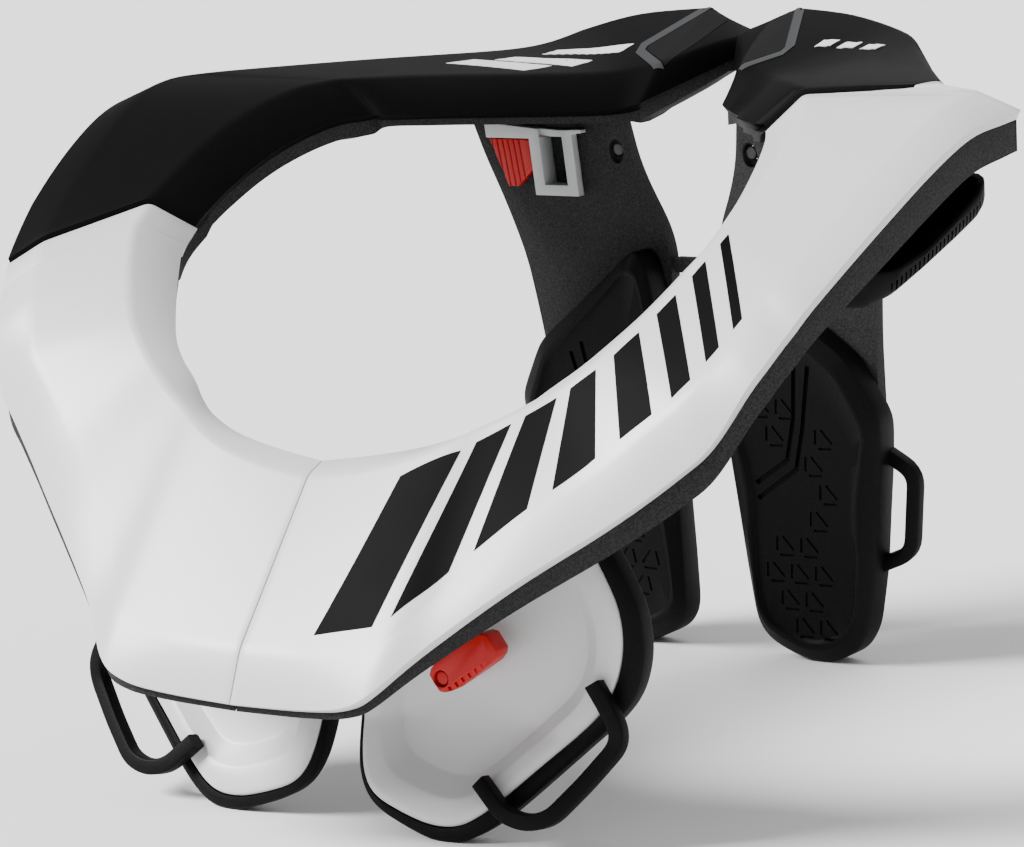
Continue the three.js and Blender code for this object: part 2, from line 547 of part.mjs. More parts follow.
const wingLoopDepth = padThick - 0.6 * loopThick;
const wingNormal = new THREE.Vector3(0, 1, wingLean).normalize();
const wingLoopBlank = flatBar(
  wingLoopPath.map(({ x, z }) => wingPoint(x * halfWidth, z * collarTop, wingLoopDepth)), loopBar, loopThick, wingNormal);
const padHull = slab(
  wingGrid(padRows, (inner, outer) => [inner - seatGap, outer + seatGap], () => -1),
  wingGrid(padRows, (inner, outer) => [inner - seatGap, outer + seatGap], () => strutDepth + strutThick + 1));
const wingLoop = wingLoopBlank.subtract(padHull);

// Grey rail and slotted tab that set the strut's angle, and the red lock behind the tab
const wingBox = (x0, x1, z0, z1, depth0, depth1) => {
  const rows = [{ level: z0, inner: x0, outer: x1 }, { level: z1, inner: x0, outer: x1 }];
  return slab(wingGrid(rows, strutSides, () => depth0), wingGrid(rows, strutSides, () => depth1));
};
const bracketFront = strutDepth - bracketThick;
const bracketBack = strutDepth - seatGap;
const railEnds = [
  { x: 0.463, low: 0.8139 },
  { x: 0.3473, low: 0.8139 },
  { x: 0.2251, low: 0.8245 },
];
const railTop = 0.8654;
const railGrid = (depth) => railEnds.map(({ x, low }) => [low, railTop].map(
  (z) => wingPoint(x * halfWidth, z * collarTop, depth)));
const railBlank = slab(railGrid(bracketFront), railGrid(bracketBack));
const tabBlank = wingBox(0.2495, 0.3563, 0.724, railTop, bracketFront, bracketBack);
const tabSlot = wingBox(0.274, 0.3305, 0.7413, 0.9038, bracketFront - 1, bracketBack - 2);
const bracket = railBlank.add(tabBlank).subtract(tabSlot).subtract(keepOut);
const lockRows = [
  { level: 0.7365, inner: 0.4019, outer: 0.4257 },
  { level: 0.7644, inner: 0.3595, outer: 0.4386 },
  { level: 0.8115, inner: 0.3595, outer: 0.4598 },
];
const strutLock = slab(
  wingGrid(lockRows, strutSides, () => bracketFront + 2),
  wingGrid(lockRows, strutSides, () => bracketBack));

// Bar that ties the two struts together between the wings
const barGrid = (depth) => [barLevel, barLevel + barHeight].map((z) => [-barReach, barReach].map(
  (x) => wingPoint(x, z, depth)));
const wingBar = slab(barGrid(strutDepth), barGrid(strutDepth + strutThick));

// Shoulder trays: an open dish with a raised outer lip, hung from the core's underside
function trayGrid(grow) {
  const inside = [];
  const outside = [];
  for (const row of trayRows) {
    const y = row.y * halfLength;
    const floor = row.floor * collarTop;
    const outer = row.outer * halfWidth;
    const inner = row.inner * halfWidth;
    const rise = trayLip * row.lip;
    outside.push([
      new THREE.Vector3(inner, y, floor + 60),
      new THREE.Vector3(inner, y, floor + 3),
      new THREE.Vector3(inner + 4, y, floor),
      new THREE.Vector3(outer - 3, y, floor),
      new THREE.Vector3(outer, y, floor + 2),
      new THREE.Vector3(outer, y, floor + rise),
    ]);
    inside.push([
      new THREE.Vector3(inner + trayWall, y, floor + 60),
      new THREE.Vector3(inner + trayWall, y, floor + 3 + trayWall * 0.5),
      new THREE.Vector3(inner + 4 + trayWall * 0.5, y, floor + trayWall),
      new THREE.Vector3(outer - 3 - trayWall * 0.5, y, floor + trayWall),
      new THREE.Vector3(outer - trayWall, y, floor + 2 + trayWall * 0.5),
      new THREE.Vector3(outer - trayWall, y, floor + rise),
    ]);
  }
  return slab(outside, inside);
}

const aboveCore = (() => {
  const top = ring.map((station) => station.top.map((point) => point.clone().setZ(point.z + far)));
  return slab(top, sunkTop(ring, shellWall + 1));
})();
const shoulderTray = trayGrid(0).subtract(keepOut).subtract(aboveCore);

// Scene graph
const brace = new THREE.Group();

function addPiece(parent, name, solid, material) {
  const { vertProperties, triVerts } = solid.getMesh();
  const geometry = new THREE.BufferGeometry();
  geometry.setAttribute("position", new THREE.BufferAttribute(new Float32Array(vertProperties), 3));
  geometry.setIndex(new THREE.BufferAttribute(new Uint32Array(triVerts), 1));
  geometry.computeVertexNormals();
  const mesh = new THREE.Mesh(geometry, material);
  mesh.name = name;
  parent.add(mesh);
}

const chassis = new THREE.Group();
const gate = new THREE.Group();
brace.add(chassis, gate);

addPiece(chassis, "chassis_core", chassisCore, corePlastic);
addPiece(chassis, "front_shell_right", rightShell, whitePlastic);
addPiece(chassis, "rear_shell", rearShell, blackPlastic);
addPiece(chassis, "gate_hinge", hingeLug, corePlastic);
addPiece(gate, "gate_core", gateCore, corePlastic);
addPiece(gate, "gate_shell", gateShell, whitePlastic);
addPiece(gate, "lever_pin", leverPin, greyPlastic);
addPiece(gate, "release_lever", releaseLever, redPlastic);

const paired = [
  ["chest_plate", chestPlate, whitePlastic, gate],
  ["chest_tray", chestTray, blackRubber, gate],
  ["chest_strap_loop", chestLoop, blackRubber, gate],
  ["shoulder_tray", shoulderTray, blackRubber, gate],
  ["rear_strut", rearStrut, corePlastic, chassis],
  ["wing_pad", wingPad, blackRubber, chassis],
  ["wing_strap_loop", wingLoop, blackRubber, chassis],
  ["strut_bracket", bracket, greyPlastic, chassis],
  ["strut_lock", strutLock, redPlastic, chassis],
  ["strut_pin", strutPin, greyPlastic, chassis],
];
for (const [name, solid, material, leftParent] of paired) {
  addPiece(leftParent, `${name}_left`, solid, material);
  addPiece(chassis, `${name}_right`, mirrored(solid), material);
}
addPiece(chassis, "wing_bar", wingBar, corePlastic);

export default brace;
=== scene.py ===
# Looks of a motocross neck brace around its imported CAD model. Metres, +Z up, front towards -Y.
# Left and right are the wearer's. Each finished piece stands for the CAD solid of the same name.
import json
import math

import bmesh
import bpy
from mathutils import Matrix, Vector
from mathutils.bvhtree import BVHTree

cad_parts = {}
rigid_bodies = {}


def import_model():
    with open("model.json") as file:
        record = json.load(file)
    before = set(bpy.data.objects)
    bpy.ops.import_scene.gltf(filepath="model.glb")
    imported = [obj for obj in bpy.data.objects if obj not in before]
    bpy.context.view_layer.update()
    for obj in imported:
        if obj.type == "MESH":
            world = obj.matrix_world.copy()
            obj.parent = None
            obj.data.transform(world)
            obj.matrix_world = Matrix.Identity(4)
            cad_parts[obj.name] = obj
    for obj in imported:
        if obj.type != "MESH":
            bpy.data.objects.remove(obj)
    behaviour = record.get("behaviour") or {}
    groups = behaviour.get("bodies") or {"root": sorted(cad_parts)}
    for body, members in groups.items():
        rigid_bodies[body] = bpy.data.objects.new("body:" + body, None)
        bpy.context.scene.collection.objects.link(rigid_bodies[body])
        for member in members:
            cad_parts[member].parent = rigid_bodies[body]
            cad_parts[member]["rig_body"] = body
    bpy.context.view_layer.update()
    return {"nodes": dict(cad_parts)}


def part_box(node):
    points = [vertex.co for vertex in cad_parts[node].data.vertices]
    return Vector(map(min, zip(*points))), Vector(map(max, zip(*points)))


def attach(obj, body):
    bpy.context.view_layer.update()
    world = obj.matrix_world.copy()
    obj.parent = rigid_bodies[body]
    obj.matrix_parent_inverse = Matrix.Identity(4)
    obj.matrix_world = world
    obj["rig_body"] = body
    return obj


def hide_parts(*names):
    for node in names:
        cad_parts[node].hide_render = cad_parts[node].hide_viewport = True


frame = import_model()
nodes = frame["nodes"]
scene = bpy.context.scene

# Camera
# It stands where the photograph's camera stood, solved from the brace's mirror symmetry.
photo_width = 1024
focal_pixels = 3800
camera_data = bpy.data.cameras.new("camera")
camera_data.sensor_width = 36
camera_data.lens = focal_pixels / photo_width * camera_data.sensor_width
camera_data.clip_end = 20
camera = bpy.data.objects.new("camera", camera_data)
scene.collection.objects.link(camera)
right_way = Vector((0.82906, 0.55723, -0.04632))
up_way = Vector((-0.06483, 0.17808, 0.98188))
back_way = Vector((0.55539, -0.81103, 0.18377))
camera_spot = Vector((0.6270, -0.9220, 0.30458))
camera_turn = Matrix((right_way, up_way, back_way)).transposed().to_4x4()
camera.matrix_world = Matrix.Translation(camera_spot) @ camera_turn
scene.camera = camera

# Floor and light
# A wide pale floor under a strong key from the front left, a weak fill and an even sky.
sky_strength = 0.34
floor_reach = 60
floor_tone = 0.94
world = bpy.data.worlds.new("studio")
scene.world = world
world.use_nodes = True
world.node_tree.nodes["Background"].inputs["Color"].default_value = (1, 1, 1, 1)
world.node_tree.nodes["Background"].inputs["Strength"].default_value = sky_strength

floor_mesh = bpy.data.meshes.new("floor")
floor_corners = [(x * floor_reach, y * floor_reach, 0) for x, y in ((-1, -1), (1, -1), (1, 1), (-1, 1))]
floor_mesh.from_pydata(floor_corners, [], [(0, 1, 2, 3)])
floor = bpy.data.objects.new("floor", floor_mesh)
scene.collection.objects.link(floor)

floor_paint = bpy.data.materials.new("floor_paint")
floor_paint.use_nodes = True
floor_shader = floor_paint.node_tree.nodes["Principled BSDF"]
floor_shader.inputs["Base Color"].default_value = (floor_tone, floor_tone, floor_tone, 1)
floor_shader.inputs["Roughness"].default_value = 0.8
floor_shader.inputs["Specular IOR Level"].default_value = 0.1
floor_mesh.materials.append(floor_paint)

for name, way, spread, power in [
    ("key_light", (-1.3, -1.15, 1.35), 24, 8.2),
    ("fill_light", (1.2, -0.4, 1.3), 70, 0.5),
    ("rear_light", (-0.2, 1.5, 1.4), 50, 1.0),
]:
    lamp = bpy.data.lights.new(name, "SUN")
    lamp.angle = math.radians(spread)
    lamp.energy = power
    light = bpy.data.objects.new(name, lamp)
    scene.collection.objects.link(light)
    light.location = way
    light.rotation_euler = (-Vector(way)).to_track_quat("-Z", "Y").to_euler()


# Collar shells
# Three thin covers of moulded plastic over the ring round the neck: a white one on the swinging
# gate, a white one at the right front and a black one from the right side round the whole rear.
# Their sections follow one table of stations, run closely, and are cut apart along the seams.
def finish_material(name, colour, roughness, bump, spread, grain=0.0, fine=900, specular=0.5, coat=0.0):
    material = bpy.data.materials.new(name)
    material.use_nodes = True
    tree = material.node_tree
    shader = tree.nodes["Principled BSDF"]
    place = tree.nodes.new("ShaderNodeTexCoord")
    blotch = tree.nodes.new("ShaderNodeTexNoise")
    blotch.inputs["Scale"].default_value = 22
    blotch.inputs["Detail"].default_value = 5
    tree.links.new(place.outputs["Object"], blotch.inputs["Vector"])
    speck = tree.nodes.new("ShaderNodeTexNoise")
    speck.inputs["Scale"].default_value = fine
    speck.inputs["Detail"].default_value = 3
    tree.links.new(place.outputs["Object"], speck.inputs["Vector"])
    tint = tree.nodes.new("ShaderNodeMix")
    tint.data_type = "RGBA"
    tint.inputs["A"].default_value = (*[c * (1 - spread) for c in colour], 1)
    tint.inputs["B"].default_value = (*[min(1, c * (1 + spread)) for c in colour], 1)
    tree.links.new(blotch.outputs["Fac"], tint.inputs["Factor"])
    contrast = tree.nodes.new("ShaderNodeMapRange")
    contrast.inputs["From Min"].default_value = 0.36
    contrast.inputs["From Max"].default_value = 0.64
    contrast.inputs["To Min"].default_value = 0.3
    tree.links.new(speck.outputs["Fac"], contrast.inputs["Value"])
    grained = tree.nodes.new("ShaderNodeMix")
    grained.data_type = "RGBA"
    grained.blend_type = "MULTIPLY"
    grained.inputs["Factor"].default_value = grain
    tree.links.new(tint.outputs["Result"], grained.inputs["A"])
    tree.links.new(contrast.outputs["Result"], grained.inputs["B"])
    tree.links.new(grained.outputs["Result"], shader.inputs["Base Color"])
    rough = tree.nodes.new("ShaderNodeMapRange")
    rough.inputs["To Min"].default_value = roughness - 0.06
    rough.inputs["To Max"].default_value = roughness + 0.08
    tree.links.new(blotch.outputs["Fac"], rough.inputs["Value"])
    tree.links.new(rough.outputs["Result"], shader.inputs["Roughness"])
    relief = tree.nodes.new("ShaderNodeBump")
    relief.inputs["Strength"].default_value = bump
    relief.inputs["Distance"].default_value = 0.0004
    tree.links.new(speck.outputs["Fac"], relief.inputs["Height"])
    tree.links.new(relief.outputs["Normal"], shader.inputs["Normal"])
    shader.inputs["Specular IOR Level"].default_value = specular
    shader.inputs["Coat Weight"].default_value = coat
    shader.inputs["Coat Roughness"].default_value = 0.2
    return material


white_plastic = finish_material("white_plastic", (0.6, 0.6, 0.604), 0.36, 0.04, 0.012, coat=0.1)
black_plastic = finish_material("black_plastic", (0.0016, 0.0016, 0.0018), 0.55, 0.12, 0.25, specular=0.05)

half_width = 0.1555
half_length = 0.1476
collar_top = 0.208
edge_reach = 0.012
edge_fall = 0.013
rim_reach = 0.014
rim_fall = 0.011

# From the front seam to the middle of the rear, as shares: inner ridge x, y and z, outer ridge
# x, y and z, the outer edge's reach and fall, the inner rim's reach and fall, the depth of the
# core's outer skirt and of its inner lip.
stations = [
    (0, -0.724, 0.485, 0, -0.958, 0.287, 0.5, 1.08, 0.48, -0.25, 0.15, 2.4),
    (0.109, -0.721, 0.498, 0.148, -0.955, 0.29, 0.55, 1.05, 0.5, -0.22, 0.17, 2.4),
    (0.206, -0.711, 0.518, 0.238, -0.942, 0.3, 0.7, 1.04, 0.55, -0.1, 0.2, 2.5),
    (0.28, -0.686, 0.54, 0.296, -0.917, 0.322, 0.8, 1.02, 0.6, 0, 0.28, 2.6),
    (0.335, -0.656, 0.56, 0.364, -0.845, 0.373, 0.85, 0.96, 0.65, 0.1, 0.4, 2.6),
    (0.388, -0.629, 0.579, 0.464, -0.768, 0.444, 0.85, 0.93, 0.72, 0.22, 0.55, 2.4),
    (0.446, -0.594, 0.604, 0.572, -0.69, 0.512, 0.92, 0.92, 0.8, 0.35, 0.65, 2),
    (0.492, -0.565, 0.63, 0.665, -0.641, 0.57, 0.9, 0.92, 0.88, 0.5, 0.75, 1.5),
    (0.538, -0.53, 0.661, 0.723, -0.61, 0.608, 0.87, 0.88, 0.95, 0.6, 0.8, 1.2),
    (0.588, -0.467, 0.708, 0.766, -0.557, 0.655, 0.92, 0.56, 1, 0.7, 0.8, 1),
    (0.614, -0.424, 0.738, 0.787, -0.522, 0.683, 0.93, 0.54, 1, 0.72, 0.8, 1),
    (0.637, -0.375, 0.77, 0.807, -0.478, 0.714, 0.92, 0.54, 1, 0.74, 0.8, 1),
    (0.65, -0.308, 0.801, 0.832, -0.423, 0.751, 0.93, 0.5, 1, 0.76, 0.82, 1),
    (0.652, -0.177, 0.848, 0.862, -0.272, 0.822, 1.05, 0.36, 1, 0.8, 0.95, 1),
    (0.637, -0.055, 0.889, 0.884, -0.123, 0.883, 1.07, 0.32, 1, 0.85, 1, 1),
    (0.605, 0.054, 0.918, 0.9, -0.001, 0.924, 1.08, 0.38, 1, 0.9, 0.95, 1),
    (0.571, 0.128, 0.933, 0.912, 0.1, 0.938, 1.12, 0.42, 0.98, 0.95, 0.88, 1),
    (0.552, 0.163, 0.936, 0.908, 0.153, 0.941, 1.19, 0.42, 0.96, 1, 0.85, 1),
    (0.535, 0.185, 0.937, 0.84, 0.168, 0.947, 0.5, 0.6, 0.95, 1, 0.8, 1),
    (0.5, 0.221, 0.938, 0.746, 0.325, 0.947, 0.4, 0.62, 0.93, 1, 0.8, 0.45),
    (0.421, 0.32, 0.936, 0.643, 0.501, 0.946, 0.4, 0.62, 0.93, 1, 0.8, 0.45),
    (0.348, 0.425, 0.93, 0.547, 0.672, 0.943, 0.4, 0.62, 0.92, 1, 0.8, 0.45),
    (0.276, 0.55, 0.922, 0.457, 0.831, 0.943, 0.4, 0.62, 0.9, 1, 0.8, 0.45),
    (0.212, 0.646, 0.917, 0.39, 0.909, 0.965, 0.4, 0.7, 0.9, 1, 0.8, 0.45),
    (0.161, 0.703, 0.917, 0.257, 0.938, 0.99, 0.4, 0.8, 0.9, 1, 0.8, 0.45),
    (0.099, 0.736, 0.923, 0.106, 0.979, 0.998, 0.26, 0.8, 0.9, 1, 0.8, 1),
    (0.045, 0.833, 0.944, 0.055, 0.965, 0.982, 0.25, 0.75, 0.3, 0.8, 0.6, 0.9),
    (0, 0.894, 0.955, 0, 0.959, 0.966, 0.2, 0.6, 0.15, 0.6, 0.4, 0.7),
]
corner_stations = {17, 18, 25}
steps = 6


def between(i, t):
    row1 = stations[i]
    row2 = stations[i + 1]
    row0 = row1 if i in corner_stations or i == 0 else stations[i - 1]
    row3 = row2 if i + 1 in corner_stations or i + 2 >= len(stations) else stations[i + 2]
    result = []
    for a, b, c, d in zip(row0, row1, row2, row3):
        slope_in = (c - a) / 2
        slope_out = (d - b) / 2
        result.append((2 * t ** 3 - 3 * t * t + 1) * b + (t ** 3 - 2 * t * t + t) * slope_in
                      + (3 * t * t - 2 * t ** 3) * c + (t ** 3 - t * t) * slope_out)
    return result


def collar_line(row, sign):
    in_x, in_y, in_z, out_x, out_y, out_z, reach, fall, bevel, sink, skirt, lip = row
    inner = Vector((sign * in_x * half_width, in_y * half_length, in_z * collar_top))
    outer = Vector((sign * out_x * half_width, out_y * half_length, out_z * collar_top))
    out = Vector((outer.x - inner.x, outer.y - inner.y, 0)).normalized()
    edge = outer + out * reach * edge_reach - Vector((0, 0, fall * edge_fall))
    rim = inner - out * bevel * rim_reach - Vector((0, 0, sink * rim_fall))
    return [rim, inner, outer, edge]


half_rows = [between(i, s / steps) for i in range(len(stations) - 1) for s in range(steps)]
half_rows.append(list(stations[-1]))
ring = [collar_line(row, -1) for row in half_rows]

# The right rear corner is a soft arc, where the left one keeps its ear.
arc_rounds = 10
arc_stations = (13, 23)
for _ in range(arc_rounds):
    for j in range(4):
        run = [line[j] for line in ring]
        for k in range(arc_stations[0] * steps, arc_stations[1] * steps):
            ring[k][j] = run[k] * 0.5 + (run[k - 1] + run[k + 1]) * 0.25
ring += [collar_line(row, 1) for row in reversed(half_rows[:-1])]


def sunk(lines, depth):
    def cell_normal(i, j):
        along = lines[i + 1][j] - lines[i][j] + lines[i + 1][j + 1] - lines[i][j + 1]
        across = lines[i][j + 1] - lines[i][j] + lines[i + 1][j + 1] - lines[i + 1][j]
        return along.cross(across).normalized()

    def strip(i, j):
        total = Vector()
        if i > 0:
            total += cell_normal(i - 1, j)
        if i < len(lines) - 1:
            total += cell_normal(i, j)
        return total.normalized()

    last = len(lines[0]) - 2
    result = []
    for i, line in enumerate(lines):
        moved = []
        for j, point in enumerate(line):
            first = strip(i, max(j - 1, 0))
            second = strip(i, min(j, last))
            mitre = (first + second) / max(1 + first.dot(second), 0.6)
            if i == 0 or i == len(lines) - 1:
                mitre.x = 0
            moved.append(point - mitre * depth)
        result.append(moved)
    return result


ridge_cut = 0.0019
ridge_steps = 3


def rounded_line(line):
    result = [line[0]]
    for before, corner, after in ((line[0], line[1], line[2]), (line[1], line[2], line[3])):
        back = before - corner
        on = after - corner
        start = corner + back.normalized() * min(ridge_cut, back.length * 0.4)
        end = corner + on.normalized() * min(ridge_cut, on.length * 0.4)
        for k in range(ridge_steps + 1):
            t = k / ridge_steps
            result.append(start * (1 - t) ** 2 + corner * 2 * t * (1 - t) + end * t * t)
    result.append(line[3])
    return result


def ring_mesh(top, under):
    bm = bmesh.new()
    sections = [[bm.verts.new(p) for p in upper + list(reversed(lower))]
                for upper, lower in zip(top, under)]
    count = len(sections[0])
    for one, two in zip(sections, sections[1:]):
        for k in range(count):
            n = (k + 1) % count
            bm.faces.new((one[k], one[n], two[n], two[k]))
    bm.faces.new(sections[0])
    bm.faces.new(list(reversed(sections[-1])))
    return bm


def shade(mesh, sharp):
    mesh.polygons.foreach_set("use_smooth", [True] * len(mesh.polygons))
    mesh.set_sharp_from_angle(angle=math.radians(sharp))


def add_object(name, bm, sharp=32):
    bmesh.ops.recalc_face_normals(bm, faces=bm.faces)
    mesh = bpy.data.meshes.new(name)
    bm.to_mesh(mesh)
    bm.free()
    shade(mesh, sharp)
    piece = bpy.data.objects.new(name, mesh)
    scene.collection.objects.link(piece)
    return piece


def applied(piece, sharp=32):
    graph = bpy.context.evaluated_depsgraph_get()
    mesh = bpy.data.meshes.new_from_object(piece.evaluated_get(graph), depsgraph=graph)
    piece.modifiers.clear()
    piece.data = mesh
    shade(mesh, sharp)
    return piece


def bevelled(piece, width, segments, limit, sharp=40):
    bevel = piece.modifiers.new("bevel", "BEVEL")
    bevel.width = width
    bevel.segments = segments
    bevel.limit_method = "ANGLE"
    bevel.angle_limit = math.radians(limit)
    return applied(piece, sharp)


def cut_to(piece, cutter, operation="INTERSECT"):
    boolean = piece.modifiers.new("cut", "BOOLEAN")
    boolean.object = cutter
    boolean.operation = operation
    boolean.solver = "EXACT"
    applied(piece)
    bpy.data.objects.remove(cutter)
    return piece


def plan_block(outline, low=-0.1, high=0.4):
    bm = bmesh.new()
    bottom = [bm.verts.new((x, y, low)) for x, y in outline]
    top = [bm.verts.new((x, y, high)) for x, y in outline]
    bm.faces.new(list(reversed(bottom)))
    bm.faces.new(top)
    for k in range(len(outline)):
        n = (k + 1) % len(outline)
        bm.faces.new((bottom[k], bottom[n], top[n], top[k]))
    return add_object("cutter", bm)


def finished(skin, name, material):
    for mesh in (skin.data, nodes[name].data):
        mesh.materials.clear()
        mesh.materials.append(material)
    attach(skin, nodes[name]["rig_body"])
    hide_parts(name)


hinge_x = 0.826 * half_width
hinge_y = 0.17 * half_length
ear_radius = 0.0074
ear_hollow = 0.008
hinge_gap = 0.00045
seam = 0.00025
border_gap = 0.00015
border_station = 12
border_run = 0.3
far = 0.4


def arc_round_hinge(radius, start, end, count=24):
    angles = [math.radians(start + (end - start) * k / count) for k in range(count + 1)]
    return [(hinge_x + radius * math.cos(a), hinge_y + radius * math.sin(a)) for a in angles]


border_inner = collar_line(stations[border_station], -1)[1]
border_outer = collar_line(stations[border_station], -1)[2]
border_way = Vector((border_outer.x - border_inner.x, border_outer.y - border_inner.y, 0)).normalized()
border_front = Vector((border_way.y, -border_way.x, 0))
if border_front.y > 0:
    border_front.negate()


def border_point(along, off):
    spot = border_inner + border_way * along + border_front * off
    return (spot.x, spot.y)


def border_crossing(x, off):
    spot = border_inner + border_front * off
    return (x, spot.y + (x - spot.x) * border_way.y / border_way.x)


gate_plan = [(seam, -far), (far, -far), (far, hinge_y - hinge_gap)]
gate_plan += arc_round_hinge(ear_radius, -3.5, 183.5)
gate_plan += [(seam, hinge_y - hinge_gap)]
right_plan = [(-seam, -far), border_crossing(-seam, border_gap), border_point(border_run, border_gap)]
right_plan += [(-far, -far)]
rear_plan = [border_point(border_run, -border_gap), border_crossing(-seam, -border_gap)]
rear_plan += [(-seam, hinge_y + hinge_gap)]
rear_plan += arc_round_hinge(ear_hollow, 176.8, 3.2)
rear_plan += [(far, hinge_y + hinge_gap), (far, far), (-far, far)]

# Beside the black shell the white ones step down to a narrow strip. Each row: a point on the
# border, the way from it into the white shell, the side and how far out the strip runs.
strip_wide = 0.0086
strip_ramp = 0.0011
strip_drop = 0.0015
strip_start = 0.03
gate_border = (Vector((0, hinge_y, 0)), Vector((0, -1, 0)), 1, 0.123)
right_border = (Vector((border_inner.x, border_inner.y, 0)), border_front, -1, 0.2)


def lower_strip(bm, border):
    origin, normal, side, limit = border
    for offset in (strip_wide, strip_wide - strip_ramp):
        near = [f for f in bm.faces if f.calc_center_median().x * side > strip_start]
        edges = {e for f in near for e in f.edges}
        verts = {v for f in near for v in f.verts}
        bmesh.ops.bisect_plane(bm, geom=near + list(edges) + list(verts), plane_co=origin + normal * offset,
                               plane_no=normal, dist=1e-6)
    for vert in bm.verts:
        away = (vert.co - origin).dot(normal)
        if strip_start < vert.co.x * side < limit and -0.02 < away < strip_wide:
            vert.co.z -= strip_drop * min(1, (strip_wide - away) / strip_ramp)


shell_wall = 0.0026
shell_round = 0.0005
shell_lines = [rounded_line(line) for line in ring]
shell_inside = sunk(shell_lines, shell_wall)
for name, plan, border, material in (
    ("gate_shell", gate_plan, gate_border, white_plastic),
    ("front_shell_right", right_plan, right_border, white_plastic),
    ("rear_shell", rear_plan, None, black_plastic),
):
    bm = ring_mesh(shell_lines, shell_inside)
    if border:
        lower_strip(bm, border)
    skin = add_object(name + "_skin", bm)
    cut_to(skin, plan_block(plan))
    bevelled(skin, shell_round, 2, 50)
    finished(skin, name, material)

# Composite core
# The ring itself, moulded in a grained fibre-filled composite: the fixed chassis half with the
# rear, and the gate half that swings. The shells are clipped over it with a hair's gap.
core_composite = finish_material("core_composite", (0.03, 0.03, 0.031), 0.7, 0.6, 0.15,
                                 grain=0.8, fine=1700, specular=0.12)
shell_gap = 0.0003
lip_depth = 0.0045
skirt_depth = 0.010
sag_depth = 0.003
thin_lip = 0.45
lug_radius = 0.0077
lug_top = 0.8798 * collar_top
core_round = 0.0009

all_rows = half_rows + list(reversed(half_rows[:-1]))
core_top = sunk(ring, shell_wall + shell_gap)
for line in core_top:
    for point in line:
        for origin, normal, side, limit in (gate_border, right_border):
            away = (point - origin).dot(normal)
            if strip_start < point.x * side < limit + 0.002 and -0.008 < away < strip_wide + 0.001:
                point.z -= strip_drop + 0.0001


def core_under(grow=0.0):
    lines = []
    for line, raw, row in zip(core_top, ring, all_rows):
        skirt, lip = row[10:]
        out = Vector((raw[2].x - raw[1].x, raw[2].y - raw[1].y, 0)).normalized()
        in_lip = line[0] - out * grow - Vector((0, 0, lip_depth * lip + grow))
        out_lip = line[3] + out * grow - Vector((0, 0, skirt_depth * skirt + grow))
        hollow = max(0, min(1, (1 - lip) / (1 - thin_lip)))
        sag = Vector((0, 0, 2 * sag_depth * hollow - sag_depth * min(1, skirt + 0.4)))
        belly = [in_lip.lerp(out_lip, t) + sag * s
                 for t, s in ((0.12, 0.6), (0.3, 1), (0.5, 1.1), (0.7, 1), (0.88, 0.6))]
        lines.append([in_lip] + belly + [out_lip])
    return lines


chassis_plan = [(-far, -far), (-seam, -far), (-seam, hinge_y + hinge_gap)] + rear_plan[3:]
for name, plan in (("gate_core", gate_plan), ("chassis_core", chassis_plan)):
    skin = add_object(name + "_skin", ring_mesh(core_top, core_under()))
    block = plan_block(plan)
    if name == "gate_core":
        turns = [2 * math.pi * k / 32 for k in range(32)]
        lug = [(hinge_x + lug_radius * math.cos(a), hinge_y + lug_radius * math.sin(a)) for a in turns]
        cut_to(block, plan_block(lug, -0.2, lug_top + shell_gap), "DIFFERENCE")
    cut_to(skin, block)
    bevelled(skin, core_round, 3, 40)
    finished(skin, name, core_composite)


# Gate hinge
# A plain pin in the left rear corner of the ring, which the gate swings on. It is pressed into
# the chassis half, and the gate half turns round it.
def solid_copy(name):
    bm = bmesh.new()
    bm.from_mesh(nodes[name].data)
    bmesh.ops.remove_doubles(bm, verts=bm.verts, dist=1e-6)
    bmesh.ops.dissolve_limit(bm, angle_limit=math.radians(1.5), verts=bm.verts, edges=bm.edges)
    return add_object(name + "_skin", bm)


def softened(skin, width):
    return bevelled(skin, width, 3, 28, 38)


finished(softened(solid_copy("gate_hinge"), 0.0006), "gate_hinge", core_composite)

# Chest plates and trays
# On the chest lie two white moulded plates, each with a deep field behind a flat lip. A thick
# black rubber tray holds each plate flush in its front and is trimmed to the ring above it.
black_rubber = finish_material("black_rubber", (0.002, 0.002, 0.0022), 0.55, 0.25, 0.25,
                               grain=0.3, fine=1400, specular=0.09)
chest_front = -0.7425 * half_length
chest_bend = 0.149 * collar_top
chest_middle = (0.046, 0.052)
chest_rounds = 14
# Each row: height as a share of the top, inner and outer x as shares of the half width.
chest_tray_rows = [
    (0, 0.2122, 0.283), (0.0106, 0.1736, 0.3087), (0.0288, 0.101, 0.3473), (0.0457, 0.0675, 0.373),
    (0.0745, 0.0457, 0.4148), (0.1058, 0.0386, 0.4598), (0.149, 0.0334, 0.5209), (0.1827, 0.0322, 0.5723),
    (0.2163, 0.0322, 0.6045), (0.2692, 0.0322, 0.6206), (0.3269, 0.0354, 0.6109), (0.3942, 0.0514, 0.5659),
    (0.4663, 0.09, 0.4887),
]
chest_plate_rows = [
    (0.0207, 0.2122, 0.2765), (0.0298, 0.1672, 0.2958), (0.0481, 0.09, 0.328), (0.0673, 0.0643, 0.3601),
    (0.0986, 0.0527, 0.4051), (0.149, 0.045, 0.4823), (0.1827, 0.045, 0.5338), (0.2212, 0.045, 0.5659),
    (0.274, 0.0482, 0.5852), (0.3269, 0.0514, 0.5788), (0.3942, 0.0707, 0.5338), (0.4663, 0.1093, 0.463),
]
